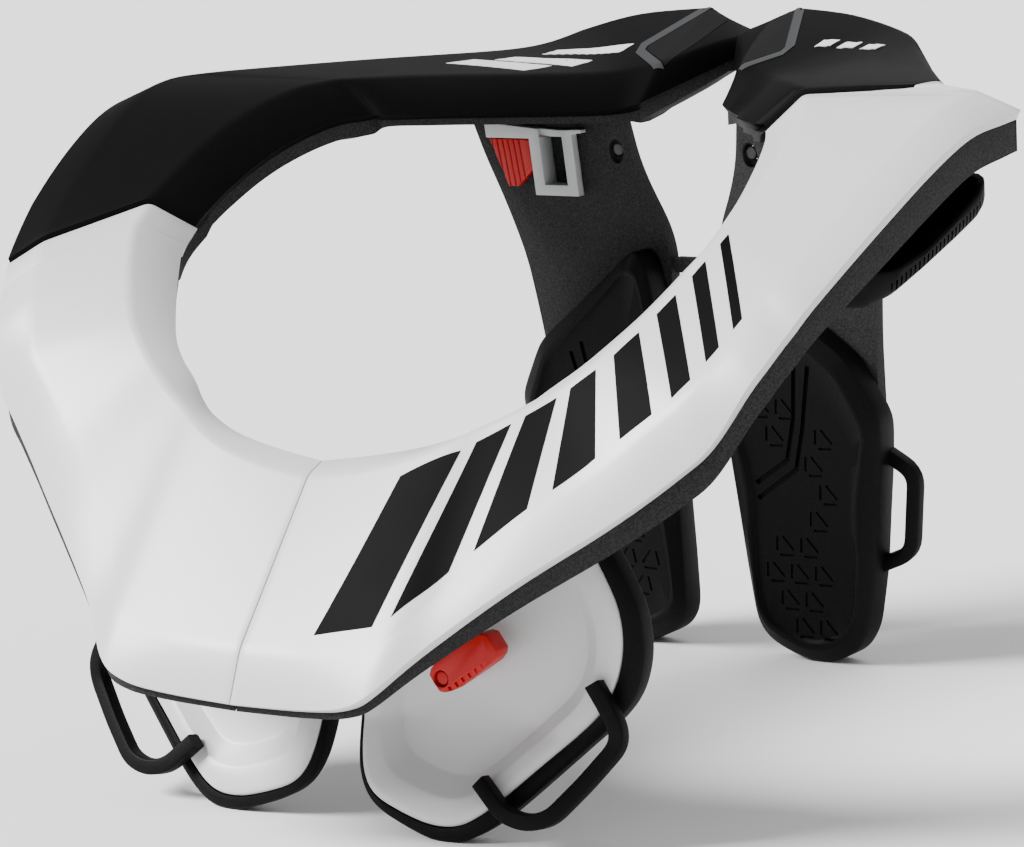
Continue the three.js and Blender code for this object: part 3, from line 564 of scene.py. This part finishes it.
# Rings from the middle of the front round the edge to the middle of the back: the inset from
# the outline, or below zero the share of the way from the middle, and the depth.
plate_rings = [(-0.2, 0.0042), (-0.45, 0.0042), (-0.6, 0.0042), (-0.72, 0.0042), (-0.735, 0.004),
               (-0.83, 0.0003), (-0.845, 0), (0.0030, 0), (0.0024, 0.0001), (0.0010, 0.0005),
               (0.0004, 0.001), (0, 0.0016), (0, 0.0027), (0.0003, 0.003), (-0.87, 0.003),
               (-0.75, 0.0052), (-0.6, 0.0052), (-0.45, 0.0052), (-0.2, 0.0052)]
tray_rings = [(-0.3, 0.0012), (-0.7, 0.0012), (0.0036, 0.0012), (0.0026, 0.0013), (0.0006, 0.0022),
              (0.0001, 0.0028), (0, 0.0036), (0, 0.0078), (0.0005, 0.0088), (0.002, 0.0098),
              (0.006, 0.0116), (0.0095, 0.0121), (0.0105, 0.0123), (-0.7, 0.0123), (-0.3, 0.0123)]
pocket_rings = [(-0.2, -0.01), (-0.45, -0.01), (-0.6, -0.01), (-0.75, -0.01), (-0.87, -0.01),
                (-0.00035, -0.01), (-0.00035, 0.0033), (-0.87, 0.0034), (-0.75, 0.0056),
                (-0.6, 0.0056), (-0.45, 0.0056), (-0.2, 0.0056)]
sides = (("left", 1), ("right", -1))


def smooth_outline(rows, rounds, spacing=0.0016, foot=0.03):
    corners = [Vector((outer * half_width, level * collar_top)) for level, inner, outer in rows]
    corners += [Vector((inner * half_width, level * collar_top)) for level, inner, outer in reversed(rows)]
    points = []
    for one, two in zip(corners, corners[1:] + corners[:1]):
        count = max(1, round((two - one).length / spacing))
        points += [one.lerp(two, k / count) for k in range(count)]
    for _ in range(rounds):
        points = [p * 0.5 + (points[k - 1] + points[(k + 1) % len(points)]) * 0.25
                  for k, p in enumerate(points)]
    low = min(p.y for p in points)
    lost = low - corners[0].y
    return [(p.x, p.y - lost * max(0, 1 - (p.y - low) / foot)) for p in points]


def panel(name, outline, centre, rings, place, sign):
    bm = bmesh.new()
    middle = Vector(centre)

    def corner(spot, depth):
        x, y, z = place(spot[0], spot[1], depth)
        return bm.verts.new((sign * x, y, z))

    loops = []
    for inset, depth in rings:
        loop = []
        for u, v in outline:
            arm = Vector((u, v)) - middle
            share = -inset if inset < -0.1 else max(0.05, 1 - inset / arm.length)
            loop.append(corner(middle + arm * share, depth(u, v) if callable(depth) else depth))
        loops.append(loop)
    count = len(outline)
    for one, two in zip(loops, loops[1:]):
        for k in range(count):
            n = (k + 1) % count
            bm.faces.new((one[k], one[n], two[n], two[k]))
    for loop, (inset, depth) in ((loops[0], rings[0]), (loops[-1], rings[-1])):
        hub = corner(centre, depth)
        for k in range(count):
            bm.faces.new((loop[k], loop[(k + 1) % count], hub))
    return add_object(name, bm)


def chest_place(x, z, depth):
    return (x, chest_front + 0.067 * x + 0.357 * min(z, chest_bend) + depth, z)


def keep_out():
    clearance = 0.0004
    headroom = Vector((0, 0, 0.06))
    lifted = [[p + headroom for p in line] for line in ring]
    return add_object("keep_out", ring_mesh(lifted, core_under(clearance)))


for side, sign in sides:
    plate_outline = smooth_outline(chest_plate_rows, chest_rounds)
    plate = panel(f"chest_plate_{side}_skin", plate_outline, chest_middle, plate_rings, chest_place, sign)
    cut_to(plate, keep_out(), "DIFFERENCE")
    finished(plate, f"chest_plate_{side}", white_plastic)
    tray_outline = smooth_outline(chest_tray_rows, chest_rounds)
    tray = panel(f"chest_tray_{side}_skin", tray_outline, chest_middle, tray_rings, chest_place, sign)
    pocket = panel("pocket", plate_outline, chest_middle, pocket_rings, chest_place, sign)
    cut_to(tray, pocket, "DIFFERENCE")
    cut_to(tray, keep_out(), "DIFFERENCE")
    finished(tray, f"chest_tray_{side}", black_rubber)

# Chest strap loops
# Bent bars of the same rubbery black plastic, whose ends are fixed to the outer edge of each
# plate. A strap passes between the bar and the tray.
bar_width = 0.0046
bar_thick = 0.0044
bar_corner = 0.0007


def filleted(path, cut, count=5):
    result = [path[0]]
    for before, corner, after in zip(path, path[1:], path[2:]):
        start = corner.lerp(before, min(0.48, cut / (before - corner).length))
        end = corner.lerp(after, min(0.48, cut / (after - corner).length))
        for k in range(count + 1):
            t = k / count
            result.append(start * (1 - t) ** 2 + corner * 2 * t * (1 - t) + end * t * t)
    result.append(path[-1])
    return result


def swept_bar(name, path, normal):
    bm = bmesh.new()
    section = []
    for cx, cy, start in ((1, 1, 0), (-1, 1, 90), (-1, -1, 180), (1, -1, 270)):
        for step in range(4):
            angle = math.radians(start + 30 * step)
            section.append((cx * (bar_width / 2 - bar_corner) + bar_corner * math.cos(angle),
                            cy * (bar_thick / 2 - bar_corner) + bar_corner * math.sin(angle)))
    loops = []
    for k, point in enumerate(path):
        way = (path[min(k + 1, len(path) - 1)] - path[max(k - 1, 0)]).normalized()
        across = way.cross(normal).normalized()
        loops.append([bm.verts.new(point + across * u + normal * v) for u, v in section])
    for one, two in zip(loops, loops[1:]):
        for m in range(len(section)):
            n = (m + 1) % len(section)
            bm.faces.new((one[m], one[n], two[n], two[m]))
    bm.faces.new(loops[0])
    bm.faces.new(list(reversed(loops[-1])))
    return add_object(name, bm)


chest_loop = [(0.3190, 0.0880), (0.3762, 0.0505), (0.4244, 0.0428), (0.4695, 0.0519), (0.5273, 0.0986),
              (0.5814, 0.149), (0.5826, 0.1755), (0.5380, 0.2290)]
chest_loop_lift = -0.0025
for side, sign in sides:
    path = [Vector(chest_place(x * half_width, z * collar_top, chest_loop_lift)) for x, z in chest_loop]
    path = [Vector((sign * p.x, p.y, p.z)) for p in filleted(path, 0.0035)]
    normal = Vector((-sign * 0.067, 1, -0.2)).normalized()
    loop = swept_bar(f"chest_strap_loop_{side}_skin", path, normal)
    finished(loop, f"chest_strap_loop_{side}", black_rubber)


# Release lever
# A short red moulded lever under the ring's front edge on the left plate, with small grip
# grooves along its lower edge. It turns on a red pin and lets the gate open.
def shape_repeater():
    tree = bpy.data.node_groups.new("repeated_shape", "GeometryNodeTree")
    ports = {}
    for label, kind in (("Spots", "NodeSocketGeometry"), ("Shape", "NodeSocketObject"),
                        ("Finish", "NodeSocketMaterial")):
        ports[label] = tree.interface.new_socket(label, in_out="INPUT", socket_type=kind).identifier
    tree.interface.new_socket("Row", in_out="OUTPUT", socket_type="NodeSocketGeometry")
    start = tree.nodes.new("NodeGroupInput")
    source = tree.nodes.new("GeometryNodeObjectInfo")
    copies = tree.nodes.new("GeometryNodeInstanceOnPoints")
    real = tree.nodes.new("GeometryNodeRealizeInstances")
    paint = tree.nodes.new("GeometryNodeSetMaterial")
    end = tree.nodes.new("NodeGroupOutput")
    tree.links.new(start.outputs["Shape"], source.inputs["Object"])
    tree.links.new(start.outputs["Spots"], copies.inputs["Points"])
    tree.links.new(source.outputs["Geometry"], copies.inputs["Instance"])
    tree.links.new(copies.outputs["Instances"], real.inputs["Geometry"])
    tree.links.new(real.outputs["Geometry"], paint.inputs["Geometry"])
    tree.links.new(start.outputs["Finish"], paint.inputs["Material"])
    tree.links.new(paint.outputs["Geometry"], end.inputs["Row"])
    return tree, ports


repeater, repeater_ports = shape_repeater()


def repeated(name, shape, spots, material):
    mesh = bpy.data.meshes.new(name)
    mesh.from_pydata([tuple(spot) for spot in spots], [], [])
    row = bpy.data.objects.new(name, mesh)
    scene.collection.objects.link(row)
    modifier = row.modifiers.new("repeat", "NODES")
    modifier.node_group = repeater
    modifier[repeater_ports["Shape"]] = shape
    modifier[repeater_ports["Finish"]] = material
    applied(row)
    bpy.data.objects.remove(shape)
    return row


def box_bm(along, across, up, middle=Vector()):
    bm = bmesh.new()
    corners = []
    for k in (-1, 1):
        for a, b in ((-1, -1), (1, -1), (1, 1), (-1, 1)):
            corners.append(bm.verts.new(middle + along * a / 2 + up * b / 2 + across * k / 2))
    bm.faces.new(corners[:4])
    bm.faces.new(corners[4:])
    for m in range(4):
        n = (m + 1) % 4
        bm.faces.new((corners[m], corners[n], corners[4 + n], corners[4 + m]))
    return bm


red_plastic = finish_material("red_plastic", (0.42, 0.004, 0.004), 0.42, 0.15, 0.08, specular=0.25)
lever_tilt = math.radians(34.4)
grip_pitch = 0.0026
grip_count = 7
grip_width = 0.001
grip_length = 0.0032
grip_depth = 0.0013
grip_offset = 0.0047
overshoot = 0.001

lever = softened(solid_copy("release_lever"), 0.0012)
lever_low, lever_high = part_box("release_lever")
along = Vector((math.cos(lever_tilt), 0, math.sin(lever_tilt)))
up = Vector((-math.sin(lever_tilt), 0, math.cos(lever_tilt)))
middle = (Vector(lever_low) + Vector(lever_high)) / 2
spots = []
for k in range(grip_count):
    spot = middle + along * grip_pitch * (k - grip_count // 2) - up * grip_offset
    spots.append((spot.x, lever_low[1], spot.z))
grip = box_bm(along * grip_width, Vector((0, grip_depth + overshoot, 0)), up * grip_length,
              Vector((0, (grip_depth - overshoot) / 2, 0)))
cut_to(lever, repeated("grips", add_object("grip", grip), spots, red_plastic), "DIFFERENCE")
finished(lever, "release_lever", red_plastic)

pin = softened(solid_copy("lever_pin"), 0.0004)
finished(pin, "lever_pin", red_plastic)

# Shoulder trays
# Deep rubber dishes under the sides of the ring that rest on the shoulders, with a rolled
# outer lip and a row of fine upright ribs moulded on the outside.
# Each row: y, the height of the dish's floor and of its lip above that.
dish_rows = [(-0.050, 0.1455, 0.0095), (-0.044, 0.1438, 0.0095), (-0.033, 0.1462, 0.0065),
             (-0.018, 0.1514, 0.005), (0.0, 0.1578, 0.0055), (0.011, 0.1615, 0.006), (0.0205, 0.1655, 0.0075)]
dish_plan = [(0.1370, -0.0500), (0.1415, -0.0440), (0.1445, -0.0330), (0.1465, -0.0180), (0.1475, 0.0000),
             (0.1475, 0.0140), (0.1450, 0.0205), (0.1370, 0.0205), (0.1350, 0.0160), (0.1220, 0.0160),
             (0.1160, 0.0140), (0.1130, 0.0080), (0.1120, 0.0000), (0.1120, -0.0180), (0.1140, -0.0330),
             (0.1180, -0.0440), (0.1240, -0.0500)]
dish_middle = (0.1285, -0.017)
dish_fillet = 0.004
rib_count = 25
rib_pitch = 0.0021
rib_start = -0.034
rib_width = 0.0008
rib_depth = 0.0016
rib_height = 0.003
rib_middle = 0.0024


def dish_value(y, column):
    if y <= dish_rows[0][0]:
        return dish_rows[0][column]
    for low, high in zip(dish_rows, dish_rows[1:]):
        if y <= high[0]:
            share = (y - low[0]) / (high[0] - low[0])
            return low[column] + share * (high[column] - low[column])
    return dish_rows[-1][column]


def dish_place(x, y, height):
    return (x, y, dish_value(y, 1) + height)


def dish_lip(x, y):
    return dish_value(y, 2) + 0.03 * max(0, min(1, (0.128 - x) / 0.012))


def under_lip(x, y):
    return dish_lip(x, y) - 0.0006


dish_corners = [Vector((x, y, 0)) for x, y in dish_plan]
dish_path = filleted(dish_corners[-1:] + dish_corners + dish_corners[:1], dish_fillet, 3)
dish_outline = [(p.x, p.y) for p in dish_path[1:-1]]
dish_rings = [(-0.3, 0), (-0.6, 0), (0.003, 0), (0.0013, 0.0004), (0.0003, 0.0014), (0, 0.0028),
              (0, under_lip), (0.0005, dish_lip), (0.0022, dish_lip), (0.0027, under_lip),
              (0.0027, 0.0044), (0.0034, 0.0032), (0.005, 0.0026), (-0.6, 0.0026), (-0.3, 0.0026)]
for side, sign in sides:
    dish = panel(f"shoulder_tray_{side}_skin", dish_outline, dish_middle, dish_rings, dish_place, sign)
    cut_to(dish, keep_out(), "DIFFERENCE")
    spots = []
    for k in range(rib_count):
        y = rib_start + rib_pitch * k
        edge_x = 0.1447 + min(0.003, 0.003 * (y + 0.033) / 0.033)
        spots.append((sign * edge_x, y, dish_value(y, 1) + rib_middle))
    rib = box_bm(Vector((rib_depth, 0, 0)), Vector((0, rib_width, 0)), Vector((0, 0, rib_height)))
    cut_to(dish, repeated("ribs", add_object("rib", rib), spots, black_rubber), "DIFFERENCE")
    finished(dish, f"shoulder_tray_{side}", black_rubber)

# Rear struts
# Two arms of the same grained composite hang from the rear of the ring down the back. Each has
# a slot behind its bracket and a plain steel pin in an oval recess, for setting the angle.
pin_grey = finish_material("pin_grey", (0.02, 0.02, 0.021), 0.45, 0.1, 0.05)
back_front = 0.7324 * half_length
back_lean = 0.1595
strut_middle = (0.25 * half_width, 0.45 * collar_top)
strut_front = 0.014
strut_back = 0.019
strut_round = 0.0007
strut_rounds = 16
strut_rows = [
    (0.0577, 0.1415, 0.2958), (0.1442, 0.1093, 0.3408), (0.3365, 0.0932, 0.3859), (0.5144, 0.0804, 0.4),
    (0.6154, 0.0579, 0.4148), (0.649, 0.0579, 0.4264), (0.6875, 0.0707, 0.4412), (0.7308, 0.0997, 0.4605),
    (0.7837, 0.1241, 0.4875), (0.8486, 0.1363, 0.5113), (0.9, 0.146, 0.53),
]
slot_left = 0.274 * half_width
slot_right = 0.3305 * half_width
slot_foot = 0.7413 * collar_top
slot_head = 0.170
slot_space = 0.0011
pin_x = 0.1576 * half_width
pin_z = 0.7981 * collar_top
pin_radius = 0.002
bore_radius = 0.0023
cut_front = 0.010


def back_place(x, z, depth):
    return (x, back_front - back_lean * z + depth, z)


def prism(bm, start, end, width, depth_low, depth_high, sign):
    way = Vector((end[0] - start[0], end[1] - start[1]))
    across = Vector((-way.y, way.x)).normalized() * width / 2
    corners = []
    for depth in (depth_low, depth_high):
        for spot, turn in ((start, 1), (end, 1), (end, -1), (start, -1)):
            x, y, z = back_place(spot[0] + turn * across.x, spot[1] + turn * across.y, depth)
            corners.append(bm.verts.new((sign * x, y, z)))
    bm.faces.new(corners[:4])
    bm.faces.new(corners[4:])
    for k in range(4):
        n = (k + 1) % 4
        bm.faces.new((corners[k], corners[n], corners[4 + n], corners[4 + k]))


def slot_block(grow, depth_low, depth_high, sign):
    bm = bmesh.new()
    middle = (slot_left + slot_right) / 2
    prism(bm, (middle, slot_foot - grow), (middle, slot_head), slot_right - slot_left + 2 * grow,
          depth_low, depth_high, sign)
    return add_object("slot", bm)


def oval(name, x, z, half_x, half_z, depth_low, depth_high, sign, count=28):
    bm = bmesh.new()
    ends = []
    for depth in (depth_low, depth_high):
        loop = []
        for k in range(count):
            angle = 2 * math.pi * k / count
            spot = back_place(x + half_x * math.cos(angle), z + half_z * math.sin(angle), depth)
            loop.append(bm.verts.new((sign * spot[0], spot[1], spot[2])))
        ends.append(loop)
    bm.faces.new(ends[0])
    bm.faces.new(ends[1])
    for k in range(count):
        n = (k + 1) % count
        bm.faces.new((ends[0][k], ends[0][n], ends[1][n], ends[1][k]))
    return add_object(name, bm)


for side, sign in sides:
    strut = panel(f"rear_strut_{side}_skin", smooth_outline(strut_rows, strut_rounds), strut_middle,
                  [(0, strut_front), (0, strut_back)], back_place, sign)
    cut_to(strut, keep_out(), "DIFFERENCE")
    recess = oval("recess", pin_x + 0.0002, pin_z - 0.0006, 0.0027, 0.0040, cut_front, 0.0164, sign)
    cut_to(strut, recess, "DIFFERENCE")
    cut_to(strut, slot_block(slot_space, cut_front, 0.018, sign), "DIFFERENCE")
    bore = oval("bore", pin_x, pin_z, bore_radius, bore_radius, cut_front, 0.025, sign)
    cut_to(strut, bore, "DIFFERENCE")
    bevelled(strut, strut_round, 3, 45)
    finished(strut, f"rear_strut_{side}", core_composite)
    pin = oval(f"strut_pin_{side}_skin", pin_x, pin_z, pin_radius, pin_radius, 0.0150, 0.0200, sign)
    bevelled(pin, 0.0004, 3, 45)
    finished(pin, f"strut_pin_{side}", pin_grey)

# Strut brackets and locks
# A grey moulded channel clips over the top of each strut and lines its slot. Beside it sits a
# red ribbed lock, pushed in from the outer edge, that holds the channel in place.
grey_plastic = finish_material("grey_plastic", (0.42, 0.425, 0.43), 0.45, 0.1, 0.03)
bracket_front = 0.0104
lock_front = 0.0114
lining_wall = 0.0008
lock_rib_count = 7
lock_rib_pitch = 0.0021
lock_rib_start = 0.0585
lock_rib_width = 0.0006
lock_rib_depth = 0.0004
lock_rib_lean = 0.002
lock_rib_foot = 0.145
lock_rib_head = 0.178


def set_back(skin, front, sign):
    bm = bmesh.new()
    prism(bm, (0.0, 0.165), (0.12, 0.165), 0.12, -0.01, front, sign)
    cut_to(skin, add_object("front", bm), "DIFFERENCE")


for side, sign in sides:
    bracket = solid_copy(f"strut_bracket_{side}")
    set_back(bracket, bracket_front, sign)
    cut_to(bracket, slot_block(lining_wall, 0.0125, 0.0177, sign), "UNION")
    cut_to(bracket, slot_block(0, 0, 0.0179, sign), "DIFFERENCE")
    softened(bracket, 0.0005)
    finished(bracket, f"strut_bracket_{side}", grey_plastic)
    lock = solid_copy(f"strut_lock_{side}")
    set_back(lock, lock_front, sign)
    bm = bmesh.new()
    prism(bm, (0, lock_rib_foot), (lock_rib_lean, lock_rib_head), lock_rib_width, cut_front,
          lock_front + lock_rib_depth, sign)
    spots = [(sign * (lock_rib_start + lock_rib_pitch * k), 0, 0) for k in range(lock_rib_count)]
    cut_to(lock, repeated("ribs", add_object("rib", bm), spots, red_plastic), "DIFFERENCE")
    softened(lock, 0.0004)
    finished(lock, f"strut_lock_{side}", red_plastic)

# Wing bar
# A short bar of the same composite, moulded between the two arms above the pads, that keeps
# them in line.
finished(softened(solid_copy("wing_bar"), 0.0008), "wing_bar", core_composite)

# Wing pads
# Thick rubber pads on the lower arms that lie against the back, with a raised rim, two bent
# grooves and rows of short engraved strokes in threes, all moulded in one go.
wing_middle = (0.036, 0.06)
pad_rows = [
    (0, 0.1994, 0.2444), (0.0072, 0.1736, 0.2765), (0.0216, 0.1286, 0.3138), (0.0385, 0.0997, 0.3312),
    (0.0625, 0.0868, 0.3486), (0.1538, 0.0791, 0.3794), (0.3269, 0.0682, 0.418), (0.4038, 0.0643, 0.4296),
    (0.4471, 0.0656, 0.3987), (0.4952, 0.0682, 0.364), (0.5769, 0.072, 0.2251), (0.625, 0.0797, 0.1447),
    (0.649, 0.09, 0.1125),
]
pad_rings = [(-0.2, 0.0014), (-0.45, 0.0014), (-0.65, 0.0014), (0.0082, 0.0014), (0.0078, 0.0012),
             (0.0068, 0.0001), (0.0064, 0), (0.0050, 0), (0.0046, 0.0002), (0.0014, 0.0022),
             (0.0004, 0.003), (0, 0.0042), (0, 0.0122), (0.0004, 0.0132), (0.0018, 0.0137),
             (-0.6, 0.0137), (-0.3, 0.0137)]
grooves = [[(0.0395, 0.1035), (0.0367, 0.0823), (0.0328, 0.0684), (0.0205, 0.0600)],
           [(0.0440, 0.1000), (0.0396, 0.0792), (0.0357, 0.0655), (0.0205, 0.0548)]]
pad_rounds = 7
groove_width = 0.0015
strokes = [((-0.0030, 0.0028), (-0.0036, -0.0020)), ((-0.0026, -0.0034), (0.0022, -0.0032)),
           ((-0.0010, 0.0030), (0.0026, -0.0016))]
stroke_width = 0.0008
stroke_lines = 11
stroke_rise = 0.0092
stroke_pitch = 0.0088
stroke_columns = 6
stroke_corner = (0.0150, 0.012)
stroke_drift = 0.0002


def stroke_spots(sign):
    spots = []
    for line in range(stroke_lines):
        for k in range(stroke_columns):
            x = stroke_corner[0] + stroke_pitch * (k + line % 2 / 2) + stroke_drift * line
            z = stroke_corner[1] + stroke_rise * line
            off_field = x < (0.0245 if z < 0.02 else 0.0235) or x > 0.0405 + 0.13 * z
            off_top = z > 0.112 - (x - 0.02) * 0.55
            on_groove = z > 0.050 and abs((x - 0.0355) - (z - 0.065) * 0.25) < 0.0058
            on_bend = 0.048 < z < 0.068 and x < 0.036
            if not (off_field or off_top or on_groove or on_bend):
                spots.append((sign * x, back_front - back_lean * z, z))
    return spots


for side, sign in sides:
    pad_outline = smooth_outline(pad_rows, pad_rounds)
    pad = panel(f"wing_pad_{side}_skin", pad_outline, wing_middle, pad_rings, back_place, sign)
    for groove in grooves:
        for start, end in zip(groove, groove[1:]):
            bm = bmesh.new()
            prism(bm, start, end, groove_width, -0.002, 0.0024, sign)
            cut_to(pad, add_object("groove", bm), "DIFFERENCE")
    bm = bmesh.new()
    for start, end in strokes:
        prism(bm, start, end, stroke_width, 0.0002, 0.0019, sign)
    bmesh.ops.translate(bm, verts=bm.verts, vec=(0, -back_front, 0))
    stroke_shape = add_object("stroke", bm)
    cut_to(pad, repeated("strokes", stroke_shape, stroke_spots(sign), black_rubber), "DIFFERENCE")
    finished(pad, f"wing_pad_{side}", black_rubber)

# Wing strap loops
# Bars like those on the chest, moulded on the outer edge of each back pad, with room behind
# them for a strap.
wing_loop = [(0.4064, 0.3438), (0.4707, 0.3144), (0.4437, 0.1856), (0.373, 0.1625)]
wing_loop_depth = 0.01106
for side, sign in sides:
    path = [Vector(back_place(x * half_width, z * collar_top, wing_loop_depth)) for x, z in wing_loop]
    path = [Vector((sign * p.x, p.y, p.z)) for p in filleted(path, 0.005)]
    loop = swept_bar(f"wing_strap_loop_{side}_skin", path, Vector((0, 1, back_lean)).normalized())
    finished(loop, f"wing_strap_loop_{side}", black_rubber)


# Printed marks
# Plain slanted bars are printed on the gate's shell, and plain white bars and dashes on the
# rear shell. They lie on the shells as films a fraction of a millimetre thick.
def dropper(name):
    bm = bmesh.new()
    bm.from_mesh(bpy.data.objects[name].data)
    tree = BVHTree.FromBMesh(bm)
    bm.free()
    return lambda x, y: tree.ray_cast(Vector((x, y, 0.4)), Vector((0, 0, -1)))[:2]


def marking(name, quads, drop, material, body, cells, proud=0.00014, root=0.0002):
    bm = bmesh.new()
    last = cells[1]
    for a, b, c, d in quads:
        upper = []
        lower = []
        for i in range(cells[0] + 1):
            s = i / cells[0]
            found = []
            for j in range(last + 1):
                t = j / last
                x = (a[0] * (1 - s) + b[0] * s) * (1 - t) + (d[0] * (1 - s) + c[0] * s) * t
                y = (a[1] * (1 - s) + b[1] * s) * (1 - t) + (d[1] * (1 - s) + c[1] * s) * t
                found.append(drop(x, y))
            if any(spot is None for spot, normal in found):
                continue
            upper.append([bm.verts.new(spot + normal * proud) for spot, normal in found])
            lower.append([bm.verts.new(spot - normal * root) for spot, normal in found])
        if len(upper) < 2:
            continue
        for i in range(len(upper) - 1):
            for j in range(last):
                bm.faces.new((upper[i][j], upper[i + 1][j], upper[i + 1][j + 1], upper[i][j + 1]))
                bm.faces.new((lower[i][j], lower[i][j + 1], lower[i + 1][j + 1], lower[i + 1][j]))
            bm.faces.new((upper[i][0], lower[i][0], lower[i + 1][0], upper[i + 1][0]))
            bm.faces.new((upper[i][last], upper[i + 1][last], lower[i + 1][last], lower[i][last]))
        for i in (0, len(upper) - 1):
            for j in range(last):
                bm.faces.new((upper[i][j], upper[i][j + 1], lower[i][j + 1], lower[i][j]))
    loose = [v for v in bm.verts if not v.link_faces]
    bmesh.ops.delete(bm, geom=loose, context="VERTS")
    piece = add_object(name, bm, 60)
    piece.data.materials.append(material)
    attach(piece, body)


graphic_paint = finish_material("graphic_paint", (0.0018, 0.0015, 0.0016), 0.55, 0.03, 0.1, specular=0.04)
white_paint = finish_material("white_paint", (0.75, 0.75, 0.75), 0.45, 0.03, 0.02)
bar_widths = (0.019, 0.016, 0.0135, 0.011, 0.009, 0.007, 0.0055, 0.004)
bar_start = 0.020
bar_space = 0.0065
bar_slant = 0.015

on_gate = dropper("gate_shell_skin")
on_rear = dropper("rear_shell_skin")
left_lines = list(reversed(ring[len(half_rows):]))
mid_runs = [0.0]
for one, two in zip(left_lines, left_lines[1:]):
    mid_runs.append(mid_runs[-1] + ((one[1] + one[2]) / 2 - (two[1] + two[2]) / 2).length)


def on_facet(run, share):
    k = next(k for k in range(len(mid_runs) - 1) if mid_runs[k + 1] >= run)
    t = (run - mid_runs[k]) / (mid_runs[k + 1] - mid_runs[k])
    inner = left_lines[k][1].lerp(left_lines[k + 1][1], t)
    outer = left_lines[k][2].lerp(left_lines[k + 1][2], t)
    return inner.lerp(outer, share).to_2d()


bars = []
run = bar_start
for width in bar_widths:
    bars.append((on_facet(run + bar_slant, 0.1), on_facet(run + bar_slant + width, 0.1),
                 on_facet(run + width, 0.9), on_facet(run, 0.9)))
    run += width + bar_space
marking("gate_bars", bars, on_gate, graphic_paint, "left_gate", (6, 12))

rear_bar_widths = (0.013, 0.009, 0.006)
rear_bar_corner = Vector((-0.074, 0.074))
rear_bar_step = Vector((0.0075, 0.0165))
rear_bar_run = Vector((0.026, 0.006))
rear_bars = []
for k, width in enumerate(rear_bar_widths):
    corner = rear_bar_corner + rear_bar_step * k
    top = corner + Vector((0.002, width))
    rear_bars.append((corner, top, top + rear_bar_run, corner + rear_bar_run))
marking("rear_bars", rear_bars, on_rear, white_paint, "chassis", (4, 10))

dash_count = 3
dash_corner = Vector((0.036, 0.1185))
dash_step = Vector((0.008, 0))
dash_run = Vector((0.0052, 0.001))
dash_rise = Vector((0.0014, 0.004))
dashes = []
for k in range(dash_count):
    corner = dash_corner + dash_step * k
    dashes.append((corner, corner + dash_run, corner + dash_run + dash_rise, corner + dash_rise))
marking("rear_dashes", dashes, on_rear, white_paint, "chassis", (8, 8), 0.00025)

# Notch inlays
# Beside the notch at the neck each half of the rear shell has a matt charcoal panel, framed
# by a narrow grey inlaid stripe. Both run over the shell's ridges.
charcoal_plastic = finish_material("charcoal_plastic", (0.007, 0.007, 0.0075), 0.55, 0.1, 0.15,
                                   specular=0.06)
stripe_paint = finish_material("stripe_paint", (0.04, 0.041, 0.043), 0.5, 0.05, 0.04, specular=0.1)
stripe_half = 0.0016
stripe_path = [(0.0165, 0.1475), (0.0180, 0.1415), (0.0270, 0.1190), (0.0262, 0.1150), (0.0150, 0.1078),
               (0.0118, 0.0985)]
panel_quads = [((0.0160, 0.1440), (0.0252, 0.1190), (0.0105, 0.1240), (0.0080, 0.1405)),
               ((0.0252, 0.1190), (0.0246, 0.1164), (0.0140, 0.1098), (0.0105, 0.1240))]
for side, sign in sides:
    band = []
    for k, (x, y) in enumerate(stripe_path):
        before = Vector(stripe_path[max(k - 1, 0)])
        after = Vector(stripe_path[min(k + 1, len(stripe_path) - 1)])
        way = (after - before).normalized()
        across = Vector((-way.y, way.x)) * stripe_half
        band.append(((sign * (x - across.x), y - across.y), (sign * (x + across.x), y + across.y)))
    quads = [(one[0], one[1], two[1], two[0]) for one, two in zip(band, band[1:])]
    marking(f"rear_stripe_{side}", quads, on_rear, stripe_paint, "chassis", (4, 12), 0.0002)
    quads = [tuple((sign * x, y) for x, y in quad) for quad in panel_quads]
    marking(f"notch_panel_{side}", quads, on_rear, charcoal_plastic, "chassis", (12, 12), 0.0001)
